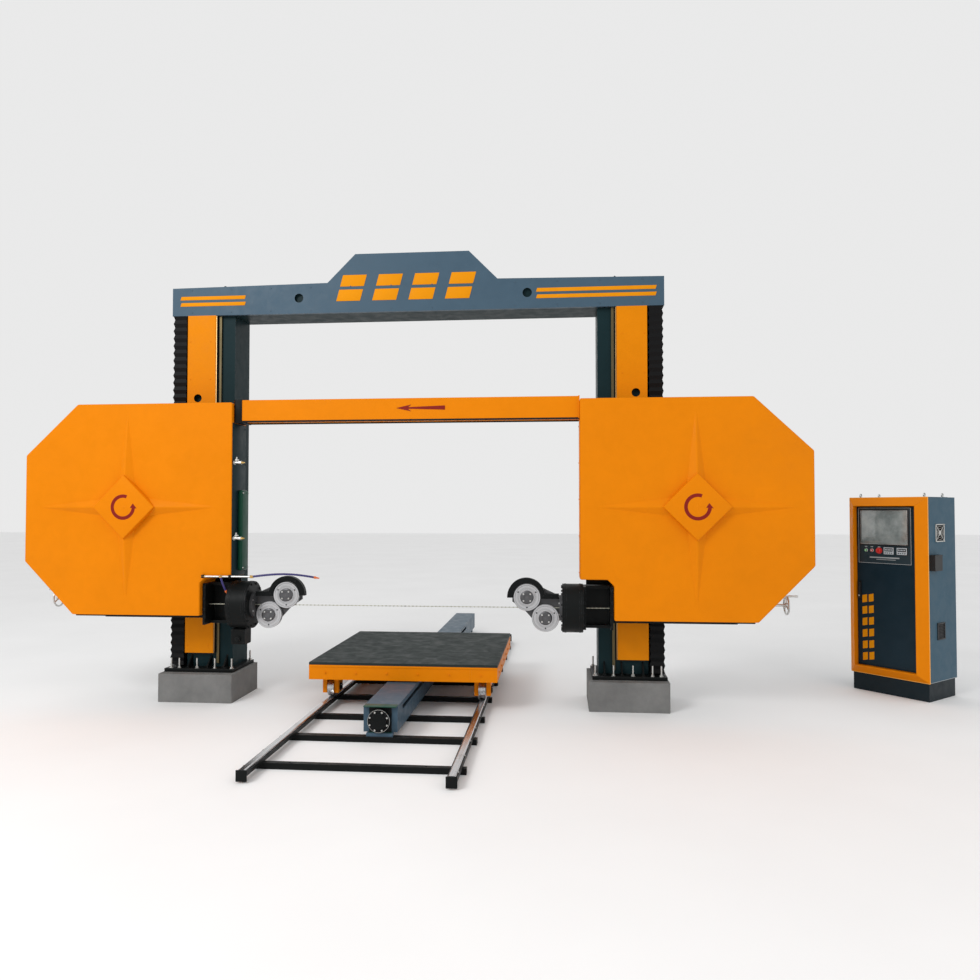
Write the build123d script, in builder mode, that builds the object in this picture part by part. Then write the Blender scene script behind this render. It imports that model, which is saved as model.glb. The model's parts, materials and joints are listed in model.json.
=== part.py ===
"""Diamond wire saw for stone slabs: gantry, wire carriage, block trolley and control cabinet.

Frame: origin on the floor under the middle of the wire, +X along the wire,
+Y from the operator towards the columns, +Z up. Millimetres.
"""
import os
from math import cos, radians, sin

from build123d import *

# ---- driving dimensions -------------------------------------------------
gap = 0.5                     # running clearance between moving faces

wire_z = 1065                 # cutting run of the wire
wire_r = 5.5                  # radius over the diamond beads
flywheel_x = 2940
flywheel_line_r = 1025        # wire line on the flywheel
flywheel_z = wire_z + flywheel_line_r
return_z = flywheel_z + flywheel_line_r
flywheel_rim_r = 1045
flywheel_width = 76
spindle_r = 45

guide_line_r = 105            # wire line on a guide wheel
guide_rim_r = 138
guide_width = 40
upper_guide_x = 1262
lower_guide_x = 1450
upper_guide_z = wire_z + guide_line_r
lower_guide_z = wire_z - guide_line_r
guide_axle_r = 20
hub_cap_r = 70
head_x = 1725                 # middle of the swivel housing
head_r = 245
head_flange = (1592, 1619.5)
bracket_xs = (1830, 2128)
bracket_zs = (860, 1290)

guard_front = -170
guard_back = 190
guard_wall = 5
guard_outline = [(1800, 3180), (3500, 3180), (4070, 2640), (4070, 1515), (3530, 960),
                 (2135, 960), (2135, 1300), (2070, 1365), (1800, 1365)]
emblem_r = 350                # half diagonal of the raised diamond
star_arm = 1010
star_waist = 150

slide_front = 205
slide_back = 233.5
slide_rail_front = 234
carriage_front = 262
carriage_back = 290
tension_travel = 40
housing_r = 120               # spindle bearing housing
tension_screw_z = 1100
tension_screw_y = 120
tension_screw_r = 14
handwheel_x = 3870
handwheel_r = 100

column_inner = 2000
column_outer = 2520
column_front = 360
column_back = 760
column_wall = 16
wing_outer = 2690             # flange outside the column that carries the outer rail
wing_front = 440
cover_inner = 2200
cover_front = 300
inner_rail_x = 2160
outer_rail_x = 2570
lift_screw_x = 2635
lift_screw_y = 392
lift_screw_r = 22
runner_low = 1500             # lowest and highest ends of the carriage runners
runner_high = 2400

plinth_inner = 1890
plinth_outer = 2710
plinth_front = 80
plinth_back = 800
plinth_top = 300
base_plate = 35
column_foot = plinth_top + base_plate

beam_half = 2700
beam_bottom = 4220
beam_top = 4530
beam_front = 340
beam_wall = 15
fascia_top = 4860
fascia_low_half = 935
fascia_top_half = 625
shaft_z = 4380
shaft_y = lift_screw_y

rail_gauge = 800              # middle of each rail from the centre line
rail_top = 100
rail_bottom = 82
sleeper_top = 50
track_front = -2250
track_back = 4200
anchor_x = 550
anchor_r = 9
sleeper_ys = [-1900, -1120, -420, 380, 1180, 1980, 2780, 3580]

table_half = 970
table_front = -150
table_back = 1900
table_top_z = 500
table_plate = 30
table_bottom = 325
cross_members = [(-150, -80), (510, 570), (1160, 1220), (1810, 1900)]
wheel_r = 95
wheel_flange_r = 112
wheel_z = rail_top + wheel_r + gap / 2
wheel_inset = 280
wheel_ys = {"front": table_front + wheel_inset, "rear": table_back - wheel_inset}

drive_beam_half = 155
drive_beam_bottom = 80
drive_beam_top = 310
drive_beam_front = -1100
drive_beam_back = 5200
drive_screw_z = 195
drive_screw_r = 20
nut_y = (table_front + table_back) / 2

motor_z = flywheel_z - 550    # main motor shaft
pulley_r = 170
motor_pulley_r = 58
pulley_front = 340
pulley_back = 410
motor_r = 150
motor_back = 880

cabinet_turn = -50            # degrees about the vertical
cabinet_half = 440
cabinet_depth = 600           # body behind the bevelled frame
cabinet_height = 2200
cabinet_wall = 4
cabinet_foot = 200            # top of the base, which is set in all round
foot_inset = 15
bevel_width = 90              # frame that slopes forward to the door opening
bevel_depth = 96
bevel_lip = 7
door_clearance = 7
door_front = -34              # the door sits back inside the frame
door_thickness = 22
panel_raise = 5               # raised instrument panel on the door
panel_xs = (-315, 280)
panel_zs = (1460, 2085)
fan_y = 250
fan_z = 1810
fan_r = 98
button_z = 1605
button_xs = {"start": -227, "stop": -159, "estop": -77}
lock_x = -306
lock_z = 1085
pendant_z = 1405

frame_bars = bevel_width + bevel_lip
door_opening = cabinet_half - frame_bars
door_half = door_opening - door_clearance
door_hinge_x = door_half - 10
door_low = cabinet_foot + frame_bars + door_clearance
door_high = cabinet_height - frame_bars - door_clearance

sides = {"left": -1, "right": 1}
cabinet_plane = Plane(
    origin=(5250, 1100, 0),
    x_dir=(cos(radians(cabinet_turn)), sin(radians(cabinet_turn)), 0),
    z_dir=(0, 0, 1),
)

os.makedirs("parts", exist_ok=True)


# ---- small helpers ------------------------------------------------------
def save(piece, name):
    """Label a finished piece and write its STEP file."""
    piece.part.label = name
    export_step(piece.part, f"parts/{name}.step")


def bar(xs, ys, zs, mode=Mode.ADD):
    """Box between two opposite corners, given as (low, high) on each axis."""
    middle = [(low + high) / 2 for low, high in (xs, ys, zs)]
    sizes = [abs(high - low) for low, high in (xs, ys, zs)]
    with Locations(tuple(middle)):
        Box(*sizes, mode=mode)


def rod(axis, centre, radius, length, mode=Mode.ADD):
    """Cylinder centred on a point, along X, Y or Z."""
    turn = {"X": (0, 90, 0), "Y": (90, 0, 0), "Z": (0, 0, 0)}[axis]
    with Locations(Location(centre, turn)):
        Cylinder(radius, length, mode=mode)


def span(side, low, high):
    """X interval on one side of the machine, from distances off the middle."""
    return side * low, side * high


def outline(points, front, back, side=1, mode=Mode.ADD):
    """Prism from an outline in the X-Z plane, between two Y values."""
    with BuildSketch(Plane.XZ.offset(-back)) as profile:
        with BuildLine():
            Polyline([(side * x, z) for x, z in points], close=True)
        make_face()
    extrude(profile.sketch, amount=back - front, mode=mode)


def disc_of_revolution(profile, centre_x, centre_z):
    """Turn an (r, y) profile about the Y axis through a point."""
    with BuildSketch(Plane.XY.offset(centre_z)) as section:
        with BuildLine():
            Polyline([(centre_x + r, y) for r, y in profile], close=True)
        make_face()
    revolve(section.sketch, axis=Axis((centre_x, 0, centre_z), (0, 1, 0)))


def hull_of_circles(circles, front, back, mode=Mode.ADD):
    """Prism round two circles (x, z, r) and the belt line between them."""
    with BuildSketch(Plane.XZ.offset(-back)) as profile:
        for x, z, r in circles:
            with Locations((x, z)):
                Circle(r)
        make_hull()
    extrude(profile.sketch, amount=back - front, mode=mode)


# ---- foundation and gantry ----------------------------------------------
def build_gantry():
    with BuildPart() as plinths:
        for side in sides.values():
            bar(span(side, plinth_inner, plinth_outer), (plinth_front, plinth_back), (0, plinth_top))
        chamfer(plinths.edges().filter_by(Axis.Z), 8)
    save(plinths, "plinths")

    with BuildPart() as base_plates:
        for side in sides.values():
            bar(span(side, 1930, 2700), (200, 785), (plinth_top, column_foot))
            for x in (2060, 2240, 2460):          # front gussets
                with BuildSketch(Plane.YZ.offset(side * x - 8)):
                    with BuildLine():
                        Polyline([(column_front, column_foot), (230, column_foot),
                                  (column_front, column_foot + 130)], close=True)
                    make_face()
                extrude(amount=16)
            for x in (1960, 2640):                # stud holes
                for y in (240, 745):
                    rod("Z", (side * x, y, plinth_top), 13, 2.5 * base_plate, Mode.SUBTRACT)
    save(base_plates, "base_plates")

    with BuildPart() as columns:
        for side in sides.values():
            heights = (column_foot, beam_bottom)
            bar(span(side, column_inner, column_outer), (column_front, column_back), heights)
            bar(span(side, column_inner + column_wall, column_outer - column_wall),
                (column_front + column_wall, column_back - column_wall), heights, Mode.SUBTRACT)
            bar(span(side, column_outer, wing_outer), (wing_front, wing_front + 20), heights)
    save(columns, "columns")

    with BuildPart() as column_covers:
        for side in sides.values():
            heights = (490, beam_bottom)
            bar(span(side, cover_inner, column_outer), (cover_front, column_front), heights)
            bar(span(side, cover_inner + 4, column_outer - 4), (cover_front + 4, column_front),
                (494, beam_bottom - 4), Mode.SUBTRACT)
            rod("Y", (side * 2400, cover_front, 3300), 45, 20, Mode.SUBTRACT)
    save(column_covers, "column_covers")

    with BuildPart() as lift_rails:
        for side in sides.values():
            heights = (column_foot + 40, beam_bottom)
            bar(span(side, inner_rail_x - 14, inner_rail_x + 14), (334, column_front), heights)
            bar(span(side, outer_rail_x - 14, outer_rail_x + 14), (414, wing_front), heights)
    save(lift_rails, "lift_rails")


def build_top_beam():
    with BuildPart() as top_beam:
        bar((-beam_half, beam_half), (beam_front, column_back), (beam_bottom, beam_top))
        bar((-beam_half + beam_wall, beam_half - beam_wall), (beam_front + beam_wall, column_back - beam_wall),
            (beam_bottom + beam_wall, beam_top - beam_wall), Mode.SUBTRACT)
        rod("Z", (0, 450, beam_top), 100, 3 * beam_wall, Mode.SUBTRACT)
        for side in sides.values():
            rod("Z", (side * lift_screw_x, lift_screw_y, beam_bottom), 20, 3 * beam_wall, Mode.SUBTRACT)
    save(top_beam, "top_beam")

    with BuildPart() as beam_cover:
        outline([(-beam_half, beam_bottom), (beam_half, beam_bottom), (beam_half, beam_top),
                 (fascia_low_half, beam_top + 20), (fascia_top_half, fascia_top),
                 (-fascia_top_half, fascia_top), (-fascia_low_half, beam_top + 20),
                 (-beam_half, beam_top)], cover_front, beam_front)
        bar((-beam_half + 6, beam_half - 6), (cover_front + 6, beam_front),
            (beam_bottom + 6, beam_top - 6), Mode.SUBTRACT)
        for side in sides.values():
            rod("Y", (side * 1255, cover_front, 4390), 50, 30, Mode.SUBTRACT)
    save(beam_cover, "beam_cover")

    with BuildPart() as lift_gearboxes:
        bar((-110, 110), (shaft_y - 36, 540), (4300, 4460))
        rod("X", (0, shaft_y, shaft_z), 20 + gap, 240, Mode.SUBTRACT)
        rod("Z", (0, 450, 4630), 92, 340)                      # upright motor
        for side in sides.values():
            bar(span(side, 2575, 2683), (shaft_y - 36, shaft_y + 60), (4300, 4440))
            rod("X", (side * 2585, shaft_y, shaft_z), 20 + gap, 40, Mode.SUBTRACT)
            rod("Z", (side * lift_screw_x, lift_screw_y, 4310), 15 + gap, 40, Mode.SUBTRACT)
    save(lift_gearboxes, "lift_gearboxes")

    with BuildPart() as cross_shaft:
        rod("X", (0, shaft_y, shaft_z), 20, 2 * 2590)
    save(cross_shaft, "cross_shaft")

    for name, side in sides.items():
        with BuildPart() as lift_screw:
            rod("Z", (side * lift_screw_x, lift_screw_y, (column_foot + 30 + 4200) / 2),
                lift_screw_r, 4200 - column_foot - 30)
            rod("Z", (side * lift_screw_x, lift_screw_y, 4260), 15, 130)
        save(lift_screw, f"lift_screw_{name}")


def build_bellows():
    levels = {"upper": (runner_high + 6, beam_bottom - 2), "lower": (column_foot + 20, runner_low - 6)}
    for name, (low, high) in levels.items():
        with BuildPart() as bellows:
            for side in sides.values():
                bar(span(side, 2532, 2688), (303, 411), (low, high))
                bar(span(side, 2546, 2674), (317, 411), (low, high), Mode.SUBTRACT)
        save(bellows, f"bellows_{name}")


# ---- carriage -----------------------------------------------------------
def build_carriage():
    plate_outline = [(2070, 3000), (3420, 3000), (3420, 880), (1870, 880), (1870, 1330), (2070, 1330)]
    with BuildPart() as carriage_plates:
        for side in sides.values():
            outline(plate_outline, carriage_front, carriage_back, side)
            bar(span(side, 2760, 3120), (carriage_front - 5, carriage_back + 5),
                (flywheel_z - 150, flywheel_z + 150), Mode.SUBTRACT)
            for z in (1480, 2640):                # tension rails
                bar(span(side, 2560, 3330), (slide_rail_front, carriage_front), (z - 20, z + 20))
            for x in (2300, 3360):                # stand-offs under the guard back
                for z in (1250, 2900):
                    bar(span(side, x - 40, x + 40), (guard_back + 6, carriage_front), (z - 40, z + 40))
            bar(span(side, 3330, 3400), (85, carriage_front), (1060, 1140))     # screw bearing
            rod("X", (side * 3365, tension_screw_y, tension_screw_z), tension_screw_r + gap, 90, Mode.SUBTRACT)
    save(carriage_plates, "carriage_plates")

    with BuildPart() as lift_runners:
        for side in sides.values():
            for z in (runner_low + 100, runner_high - 100):
                bar(span(side, inner_rail_x - 34, inner_rail_x + 34), (carriage_back, 350), (z - 100, z + 100))
                bar(span(side, inner_rail_x - 14 - gap, inner_rail_x + 14 + gap), (334 - gap, 350),
                    (z - 100, z + 100), Mode.SUBTRACT)
                bar(span(side, outer_rail_x - 30, outer_rail_x + 30), (carriage_back, 432), (z - 100, z + 100))
                bar(span(side, outer_rail_x - 14 - gap, outer_rail_x + 14 + gap), (414 - gap, 432),
                    (z - 100, z + 100), Mode.SUBTRACT)
            z = flywheel_z                       # lift nut
            bar(span(side, lift_screw_x - 34, lift_screw_x + 45), (carriage_back, 432), (z - 60, z + 60))
            rod("Z", (side * lift_screw_x, lift_screw_y, z), lift_screw_r + gap, 130, Mode.SUBTRACT)
    save(lift_runners, "lift_runners")

    with BuildPart() as wire_duct:
        for side in sides.values():               # four plates round the return run
            bar((-1799, 1799), span(side, 114, 120), (2990, 3210))
        for z in (2990, 3204):
            bar((-1799, 1799), (-114 + gap, 114 - gap), (z, z + 6))
    save(wire_duct, "wire_duct")


def guard_inner_outline():
    """Guard outline set in by the wall, with the slopes kept."""
    w, t = guard_wall, guard_wall * 0.41
    return [(1800 + w, 3180 - w), (3500 - t, 3180 - w), (4070 - w, 2640 - t), (4070 - w, 1515 + t),
            (3530 - t, 960 + w), (2135 + w, 960 + w), (2135 + w, 1300 + t), (2070 + t, 1365 + w),
            (1800 + w, 1365 + w)]


def build_guards():
    for name, side in sides.items():
        centre = (side * flywheel_x, flywheel_z)
        with BuildPart() as guard:
            outline(guard_outline, guard_front, guard_back, side)
            outline(guard_inner_outline(), guard_front + guard_wall, guard_back, side, Mode.SUBTRACT)
            with BuildSketch(Plane.XZ.offset(-guard_front)):       # four-point star
                with BuildLine():
                    Polyline([(centre[0] + reach * cos(radians(45 * k)), centre[1] + reach * sin(radians(45 * k)))
                              for k, reach in enumerate([star_arm, star_waist] * 4)], close=True)
                make_face()
            extrude(amount=10)
            with BuildSketch(Plane.XZ.offset(-guard_front)):       # diamond plate
                with Locations(centre):
                    RegularPolygon(emblem_r, 4, rotation=0)
            extrude(amount=22)
            rod("X", (side * 2135, 0, wire_z), 32, 40, Mode.SUBTRACT)
            rod("X", (side * 1800, 0, return_z), 45, 40, Mode.SUBTRACT)
            rod("X", (side * 3670, tension_screw_y, tension_screw_z), 24, 160, Mode.SUBTRACT)
        save(guard, f"guard_{name}")

    with BuildPart() as guard_backs:
        for side in sides.values():
            outline(guard_outline, guard_back, guard_back + 6, side)
            bar(span(side, 2760, 3120), (guard_back - 5, guard_back + 12),
                (flywheel_z - 150, flywheel_z + 150), Mode.SUBTRACT)
            bar(span(side, 2800, 3410), (guard_back - 5, guard_back + 12), (1045, 1155), Mode.SUBTRACT)
    save(guard_backs, "guard_backs")


# ---- flywheels, tension slides and main drive ---------------------------
def build_tension():
    for name, side in sides.items():
        x = side * flywheel_x
        with BuildPart() as tension_slide:
            bar((x - 260, x + 260), (slide_front, slide_back), (1060, 2720))
            for z in (1480, 2640):                # keeps hooked round the rails
                for edge in (z - 38, z + 38):
                    bar((x - 260, x + 260), (slide_back - gap, 258), (edge - 17, edge + 17))
            rod("Y", (x, (60 + 300) / 2, flywheel_z), housing_r, 240)
            bar((x - 60, x + 60), (85, slide_front), (1065, 1135))          # tension nut
            rod("Y", (x, 180, flywheel_z), spindle_r + gap, 300, Mode.SUBTRACT)
            rod("X", (x, tension_screw_y, tension_screw_z), tension_screw_r + gap, 140, Mode.SUBTRACT)
        save(tension_slide, f"tension_slide_{name}")

        half = flywheel_width / 2
        seat_r = flywheel_line_r - wire_r - gap
        with BuildPart() as flywheel:
            disc_of_revolution([(960, -half), (flywheel_rim_r, -half), (flywheel_rim_r, -20), (seat_r, -9),
                                (seat_r, 9), (flywheel_rim_r, 20), (flywheel_rim_r, half), (960, half)],
                               x, flywheel_z)
            disc_of_revolution([(100, -12), (965, -12), (965, 12), (100, 12)], x, flywheel_z)
            rod("Y", (x, 0, flywheel_z), 115, 110)
            with Locations(Location((x, 0, flywheel_z), (90, 0, 0))):
                with PolarLocations(560, 8):      # lightening holes in the web
                    Cylinder(150, 60, mode=Mode.SUBTRACT)
            shaft_end = pulley_back if name == "left" else 330
            rod("Y", (x, (shaft_end - 50) / 2, flywheel_z), spindle_r, shaft_end + 50)
            if name == "left":                    # driven pulley
                rod("Y", (x, (pulley_front + pulley_back) / 2, flywheel_z), pulley_r, pulley_back - pulley_front)
        save(flywheel, f"flywheel_{name}")

        with BuildPart() as handwheel:
            axis = (tension_screw_y, tension_screw_z)
            ends = (2860, handwheel_x + 20)
            rod("X", (side * sum(ends) / 2, *axis), tension_screw_r, ends[1] - ends[0])
            rod("X", (side * handwheel_x, *axis), 24, 40)
            with Locations(Location((side * handwheel_x, *axis), (0, 90, 0))):
                Torus(handwheel_r - 10, 10)
            for k in range(3):
                with Locations(Location((side * handwheel_x, *axis), (120 * k, 0, 0))):
                    Box(12, 14, handwheel_r - 10, align=(Align.CENTER, Align.CENTER, Align.MIN))
            rod("X", (side * (handwheel_x + 65), axis[0], axis[1] + handwheel_r - 10), 12, 130)
        save(handwheel, f"handwheel_{name}")


def build_main_drive():
    x = -flywheel_x
    belt_circles = [(x, flywheel_z, pulley_r), (x, motor_z, motor_pulley_r)]
    with BuildPart() as motor_pulley:
        rod("Y", (x, (pulley_front + pulley_back) / 2, motor_z), motor_pulley_r, pulley_back - pulley_front)
        rod("Y", (x, (pulley_front + 435) / 2, motor_z), 24, 435 - pulley_front)
    save(motor_pulley, "motor_pulley")

    with BuildPart() as drive_belt:
        hull_of_circles([(cx, cz, r + 9) for cx, cz, r in belt_circles], pulley_front + 8, pulley_back - 8)
        hull_of_circles([(cx, cz, r + gap) for cx, cz, r in belt_circles], pulley_front + 8, pulley_back - 8,
                        Mode.SUBTRACT)
    save(drive_belt, "drive_belt")

    with BuildPart() as belt_guard:
        hull_of_circles([(cx, cz, r + 18) for cx, cz, r in belt_circles], 322, 420)
        hull_of_circles([(cx, cz, r + 14) for cx, cz, r in belt_circles], 322, 416, Mode.SUBTRACT)
        rod("Y", (x, 420, motor_z), 30, 20, Mode.SUBTRACT)
    save(belt_guard, "belt_guard")

    with BuildPart() as main_motor:
        bar((x - 185, x + 185), (301, 321), (motor_z - 190, flywheel_z + 150))
        rod("Y", (x, 310, flywheel_z), 60, 40, Mode.SUBTRACT)
        for edge in (-1, 1):
            bar((x + edge * 170, x + edge * 185), (321, 440), (motor_z - 190, motor_z + 150))
        bar((x - 185, x + 185), (425, 440), (motor_z - 190, motor_z + 150))
        rod("Y", (x, 430, motor_z), 24 + gap, 30, Mode.SUBTRACT)
        rod("Y", (x, (440 + motor_back) / 2, motor_z), motor_r, motor_back - 440)
        bar((x - 70, x + 70), (520, 700), (motor_z + 100, motor_z + 200))    # terminal box
    save(main_motor, "main_motor")


def build_wire():
    for name, side in sides.items():
        with BuildPart() as wire:
            with BuildLine():
                low = Line((0, 0, wire_z), (side * flywheel_x, 0, wire_z))
                turn = ThreePointArc(low @ 1, (side * (flywheel_x + flywheel_line_r), 0, flywheel_z),
                                     (side * flywheel_x, 0, return_z))
                Line(turn @ 1, (0, 0, return_z))
            with BuildSketch(Plane.YZ):
                with Locations((0, wire_z)):
                    Circle(wire_r)
            sweep()
        save(wire, f"wire_{name}")


# ---- guide heads --------------------------------------------------------
def build_head_housings():
    with BuildPart() as head_housings:
        for side in sides.values():
            near, far = bracket_xs
            low, high = bracket_zs
            bar(span(side, near, far), (120, 150), (low, high))             # back of the bracket
            for x in (near, far - 28):                                      # end cheeks
                bar(span(side, x, x + 28), (-110, 120), (low, high))
            for z in (low, high - 28):                                      # top and bottom webs
                bar(span(side, near, far), (30, 120), (z, z + 28))
            bar(span(side, near + 50, far - 8), (150, carriage_front), (low + 40, high - 60))
            rod("X", (side * head_x, 0, wire_z), head_r, 2 * (near - head_x))
            rod("X", (side * 1870, 0, wire_z), 32, 640, Mode.SUBTRACT)
    save(head_housings, "head_housings")

    with BuildPart() as swivel_motor:
        bar((-1830, -1680), (-80, 80), (655, 815))
        fillet(swivel_motor.edges().filter_by(Axis.X), 14)
        bar((-1790, -1720), (-40, 40), (810, 819.5))
    save(swivel_motor, "swivel_motor")


def build_heads():
    for name, side in sides.items():
        wheels = {"upper": (side * upper_guide_x, upper_guide_z), "lower": (side * lower_guide_x, lower_guide_z)}
        with BuildPart() as head_arm:
            rod("X", (side * sum(head_flange) / 2, 0, wire_z), 130, head_flange[1] - head_flange[0])
            rod("X", (side * 1605, 0, wire_z), 30, 60, Mode.SUBTRACT)
            outline([(1605, 950), (1605, 1180), (1500, 1225), (1262, 1340), (1110, 1250), (1110, 1120),
                     (1230, 1040), (1330, 930), (1400, 850), (1520, 850)], 32, 62, side)
            bar(span(side, 1480, 1592), (62, 110), (980, 1150))             # stiffening rib
            for x, z in wheels.values():
                rod("Y", (x, 8, z), guide_axle_r, 56)
        save(head_arm, f"head_arm_{name}")

        with BuildPart() as wheel_guard:
            with BuildSketch(Plane.XZ.offset(-31.5)):
                with Locations((side * (upper_guide_x - 8), upper_guide_z + 4)):
                    Circle(194)
                with Locations((side * upper_guide_x, upper_guide_z - 205)):
                    Rectangle(600, 400, mode=Mode.SUBTRACT)
                with Locations((side * (upper_guide_x + 235), upper_guide_z + 12)):
                    Rectangle(180, 50)            # tail along the top of the arm
                with Locations((side * upper_guide_x, upper_guide_z)):
                    Circle(146, mode=Mode.SUBTRACT)
            extrude(amount=60)
        save(wheel_guard, f"wheel_guard_{name}")

        for level, (x, z) in wheels.items():
            half = guide_width / 2
            seat_r = guide_line_r - wire_r - gap
            bore_r = guide_axle_r + gap
            with BuildPart() as guide_wheel:
                disc_of_revolution([(bore_r, -half), (guide_rim_r, -half), (guide_rim_r, -15), (seat_r, -8),
                                    (seat_r, 8), (guide_rim_r, 15), (guide_rim_r, half), (bore_r, half)], x, z)
                disc_of_revolution([(0, -half - 24), (hub_cap_r - 8, -half - 24), (hub_cap_r, -half - 16),
                                    (hub_cap_r, -half), (0, -half)], x, z)
            save(guide_wheel, f"guide_wheel_{level}_{name}")


def build_coolant():
    hose_r = 10
    pipe_y, pipe_z = -192, 1372
    with BuildPart() as coolant_line:
        rod("X", (-1835, pipe_y, pipe_z), 12, 530)
        with BuildLine() as long_hose:
            FilletPolyline((-1570, pipe_y, pipe_z), (-1420, pipe_y + 10, pipe_z + 20),
                           (-1230, pipe_y + 50, pipe_z + 28), (-1060, pipe_y + 100, pipe_z + 10),
                           (-950, pipe_y + 140, pipe_z - 14), radius=110)
        with BuildSketch(Plane(long_hose.line @ 0, z_dir=long_hose.line % 0)):
            Circle(hose_r)
        sweep()
        with BuildLine() as short_hose:
            FilletPolyline((-1900, pipe_y, pipe_z), (-1880, pipe_y - 6, pipe_z - 70),
                           (-1855, pipe_y + 30, pipe_z - 150), radius=50)
        with BuildSketch(Plane(short_hose.line @ 0, z_dir=short_hose.line % 0)):
            Circle(hose_r)
        sweep()
        with BuildSketch(Plane(long_hose.line @ 1, z_dir=long_hose.line % 1)):
            Circle(13)
        extrude(amount=55, taper=8)
        with BuildSketch(Plane(short_hose.line @ 1, z_dir=short_hose.line % 1)):
            Circle(13)
        extrude(amount=45, taper=8)
        for x in (-2090, -1800):                  # clamps on the guard
            bar((x - 12, x + 12), (pipe_y - 14, guard_front), (pipe_z - 14, pipe_z + 14))
    save(coolant_line, "coolant_line")


# ---- track, trolley and its drive ---------------------------------------
def build_track():
    with BuildPart() as track_frame:
        for y in sleeper_ys:
            tall = 20 if y == -1120 else 0
            bar((-870, 870), (y - 26 - tall / 2, y + 26 + tall / 2), (0, sleeper_top))
        for x in (-rail_gauge, rail_gauge):
            bar((x - 40, x + 40), (track_front, track_back), (sleeper_top + gap, rail_bottom))
        for x in (-anchor_x, anchor_x):
            for y in (sleeper_ys[0], sleeper_ys[-1]):
                rod("Z", (x, y, sleeper_top / 2), anchor_r, 2 * sleeper_top, Mode.SUBTRACT)
    save(track_frame, "track_frame")

    with BuildPart() as track_rails:
        for x in (-rail_gauge, rail_gauge):
            bar((x - 30, x + 30), (track_front, track_back), (rail_bottom, rail_top))
        fillet(track_rails.edges().filter_by(Axis.Y).group_by(Axis.Z)[-1], 12)
    save(track_rails, "track_rails")

    with BuildPart() as drive_beam:
        half, wall = drive_beam_half, 12
        bar((-half, half), (drive_beam_front, drive_beam_back), (drive_beam_bottom, drive_beam_top))
        bar((-half + wall, half - wall), (drive_beam_front + wall, drive_beam_back - wall),
            (drive_beam_bottom + wall, drive_beam_top - wall), Mode.SUBTRACT)
        bar((-half - 5, half + 5), (drive_beam_front + 220, drive_beam_back - 1200), (228, 268), Mode.SUBTRACT)
        rod("Y", (0, drive_beam_front, drive_screw_z), 30, 40, Mode.SUBTRACT)
        bar((-60, 60), (-60, 60), (0, drive_beam_bottom))                   # foot under the wire
        for y in sleeper_ys[1:]:                                            # pads on the sleepers
            bar((-120, 120), (y - 26, y + 26), (sleeper_top, drive_beam_bottom))
        bar((-120, 120), (drive_beam_back - 60, drive_beam_back), (0, drive_beam_bottom))
    save(drive_beam, "drive_beam")

    with BuildPart() as drive_beam_end:
        bar((-100, 100), (drive_beam_front - 14, drive_beam_front), (drive_beam_bottom + 5, drive_beam_top - 5))
        rod("Y", (0, drive_beam_front - 49, drive_screw_z), 98, 70)
        rod("Y", (0, drive_beam_front - 94, drive_screw_z), 70, 20)
        with Locations(Location((0, drive_beam_front - 84, drive_screw_z), (90, 0, 0))):
            with PolarLocations(84, 8):
                Cylinder(6, 14)
        rod("Y", (0, drive_beam_front - 10, drive_screw_z), 16 + gap, 90, Mode.SUBTRACT)
    save(drive_beam_end, "drive_beam_end")

    with BuildPart() as drive_screw:
        rod("Y", (0, 1700, drive_screw_z), drive_screw_r, 5540)
        rod("Y", (0, -1080, drive_screw_z), 16, 90)
    save(drive_screw, "drive_screw")


def build_trolley():
    with BuildPart() as table_top:
        bar((-table_half, table_half), (table_front, table_back), (table_top_z - table_plate, table_top_z))
    save(table_top, "table_top")

    with BuildPart() as table_frame:              # separate bars, tacked together at their ends
        heights = (table_bottom, table_top_z - table_plate)
        bar((-30, 30), (table_front, table_back), heights)                  # spine
        for side in sides.values():
            bar(span(side, 690, 710), (table_front, table_back), heights)   # webs of the side channel
            bar(span(side, 950, table_half), (table_front, table_back), heights)
            inside = span(side, 710 + gap, 950 - gap)
            bar(inside, (table_front + 20, table_back - 20), (440 + gap, heights[1]))
            bar(inside, (table_front, table_front + 20 - gap), heights)
            bar(inside, (table_back - 20 + gap, table_back), heights)
            for low, high in cross_members:
                bar(span(side, 30 + gap, 690 - gap), (low, high), heights)
            bar(span(side, 30 + gap, 170 - gap), (nut_y - 50, nut_y + 50), heights)      # yoke over the nut
            bar(span(side, 170, 200), (nut_y - 50, nut_y + 50), (225, heights[1]))
            for y in wheel_ys.values():           # axle boxes
                for offset in (-62, 62):
                    x = side * rail_gauge + offset
                    bar((x - 22, x + 22), (y - 80, y + 80), (wheel_z - 50, 440))
                rod("X", (side * rail_gauge, y, wheel_z), 24 + gap, 200, Mode.SUBTRACT)
    save(table_frame, "table_frame")

    with BuildPart() as drive_nut:
        rod("Y", (0, nut_y, drive_screw_z), 45, 120)
        bar((-170, 170), (nut_y - 38, nut_y + 38), (232, 262))
        rod("Y", (0, nut_y, drive_screw_z), drive_screw_r + gap, 140, Mode.SUBTRACT)
    save(drive_nut, "drive_nut")

    for name, y in wheel_ys.items():
        with BuildPart() as wheels:
            for side in sides.values():
                x = side * rail_gauge
                rod("X", (x, y, wheel_z), wheel_r, 64)
                rod("X", (x - side * 35, y, wheel_z), wheel_flange_r, 8)
                rod("X", (x, y, wheel_z), 24, 176)
        save(wheels, f"{name}_wheels")


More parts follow.
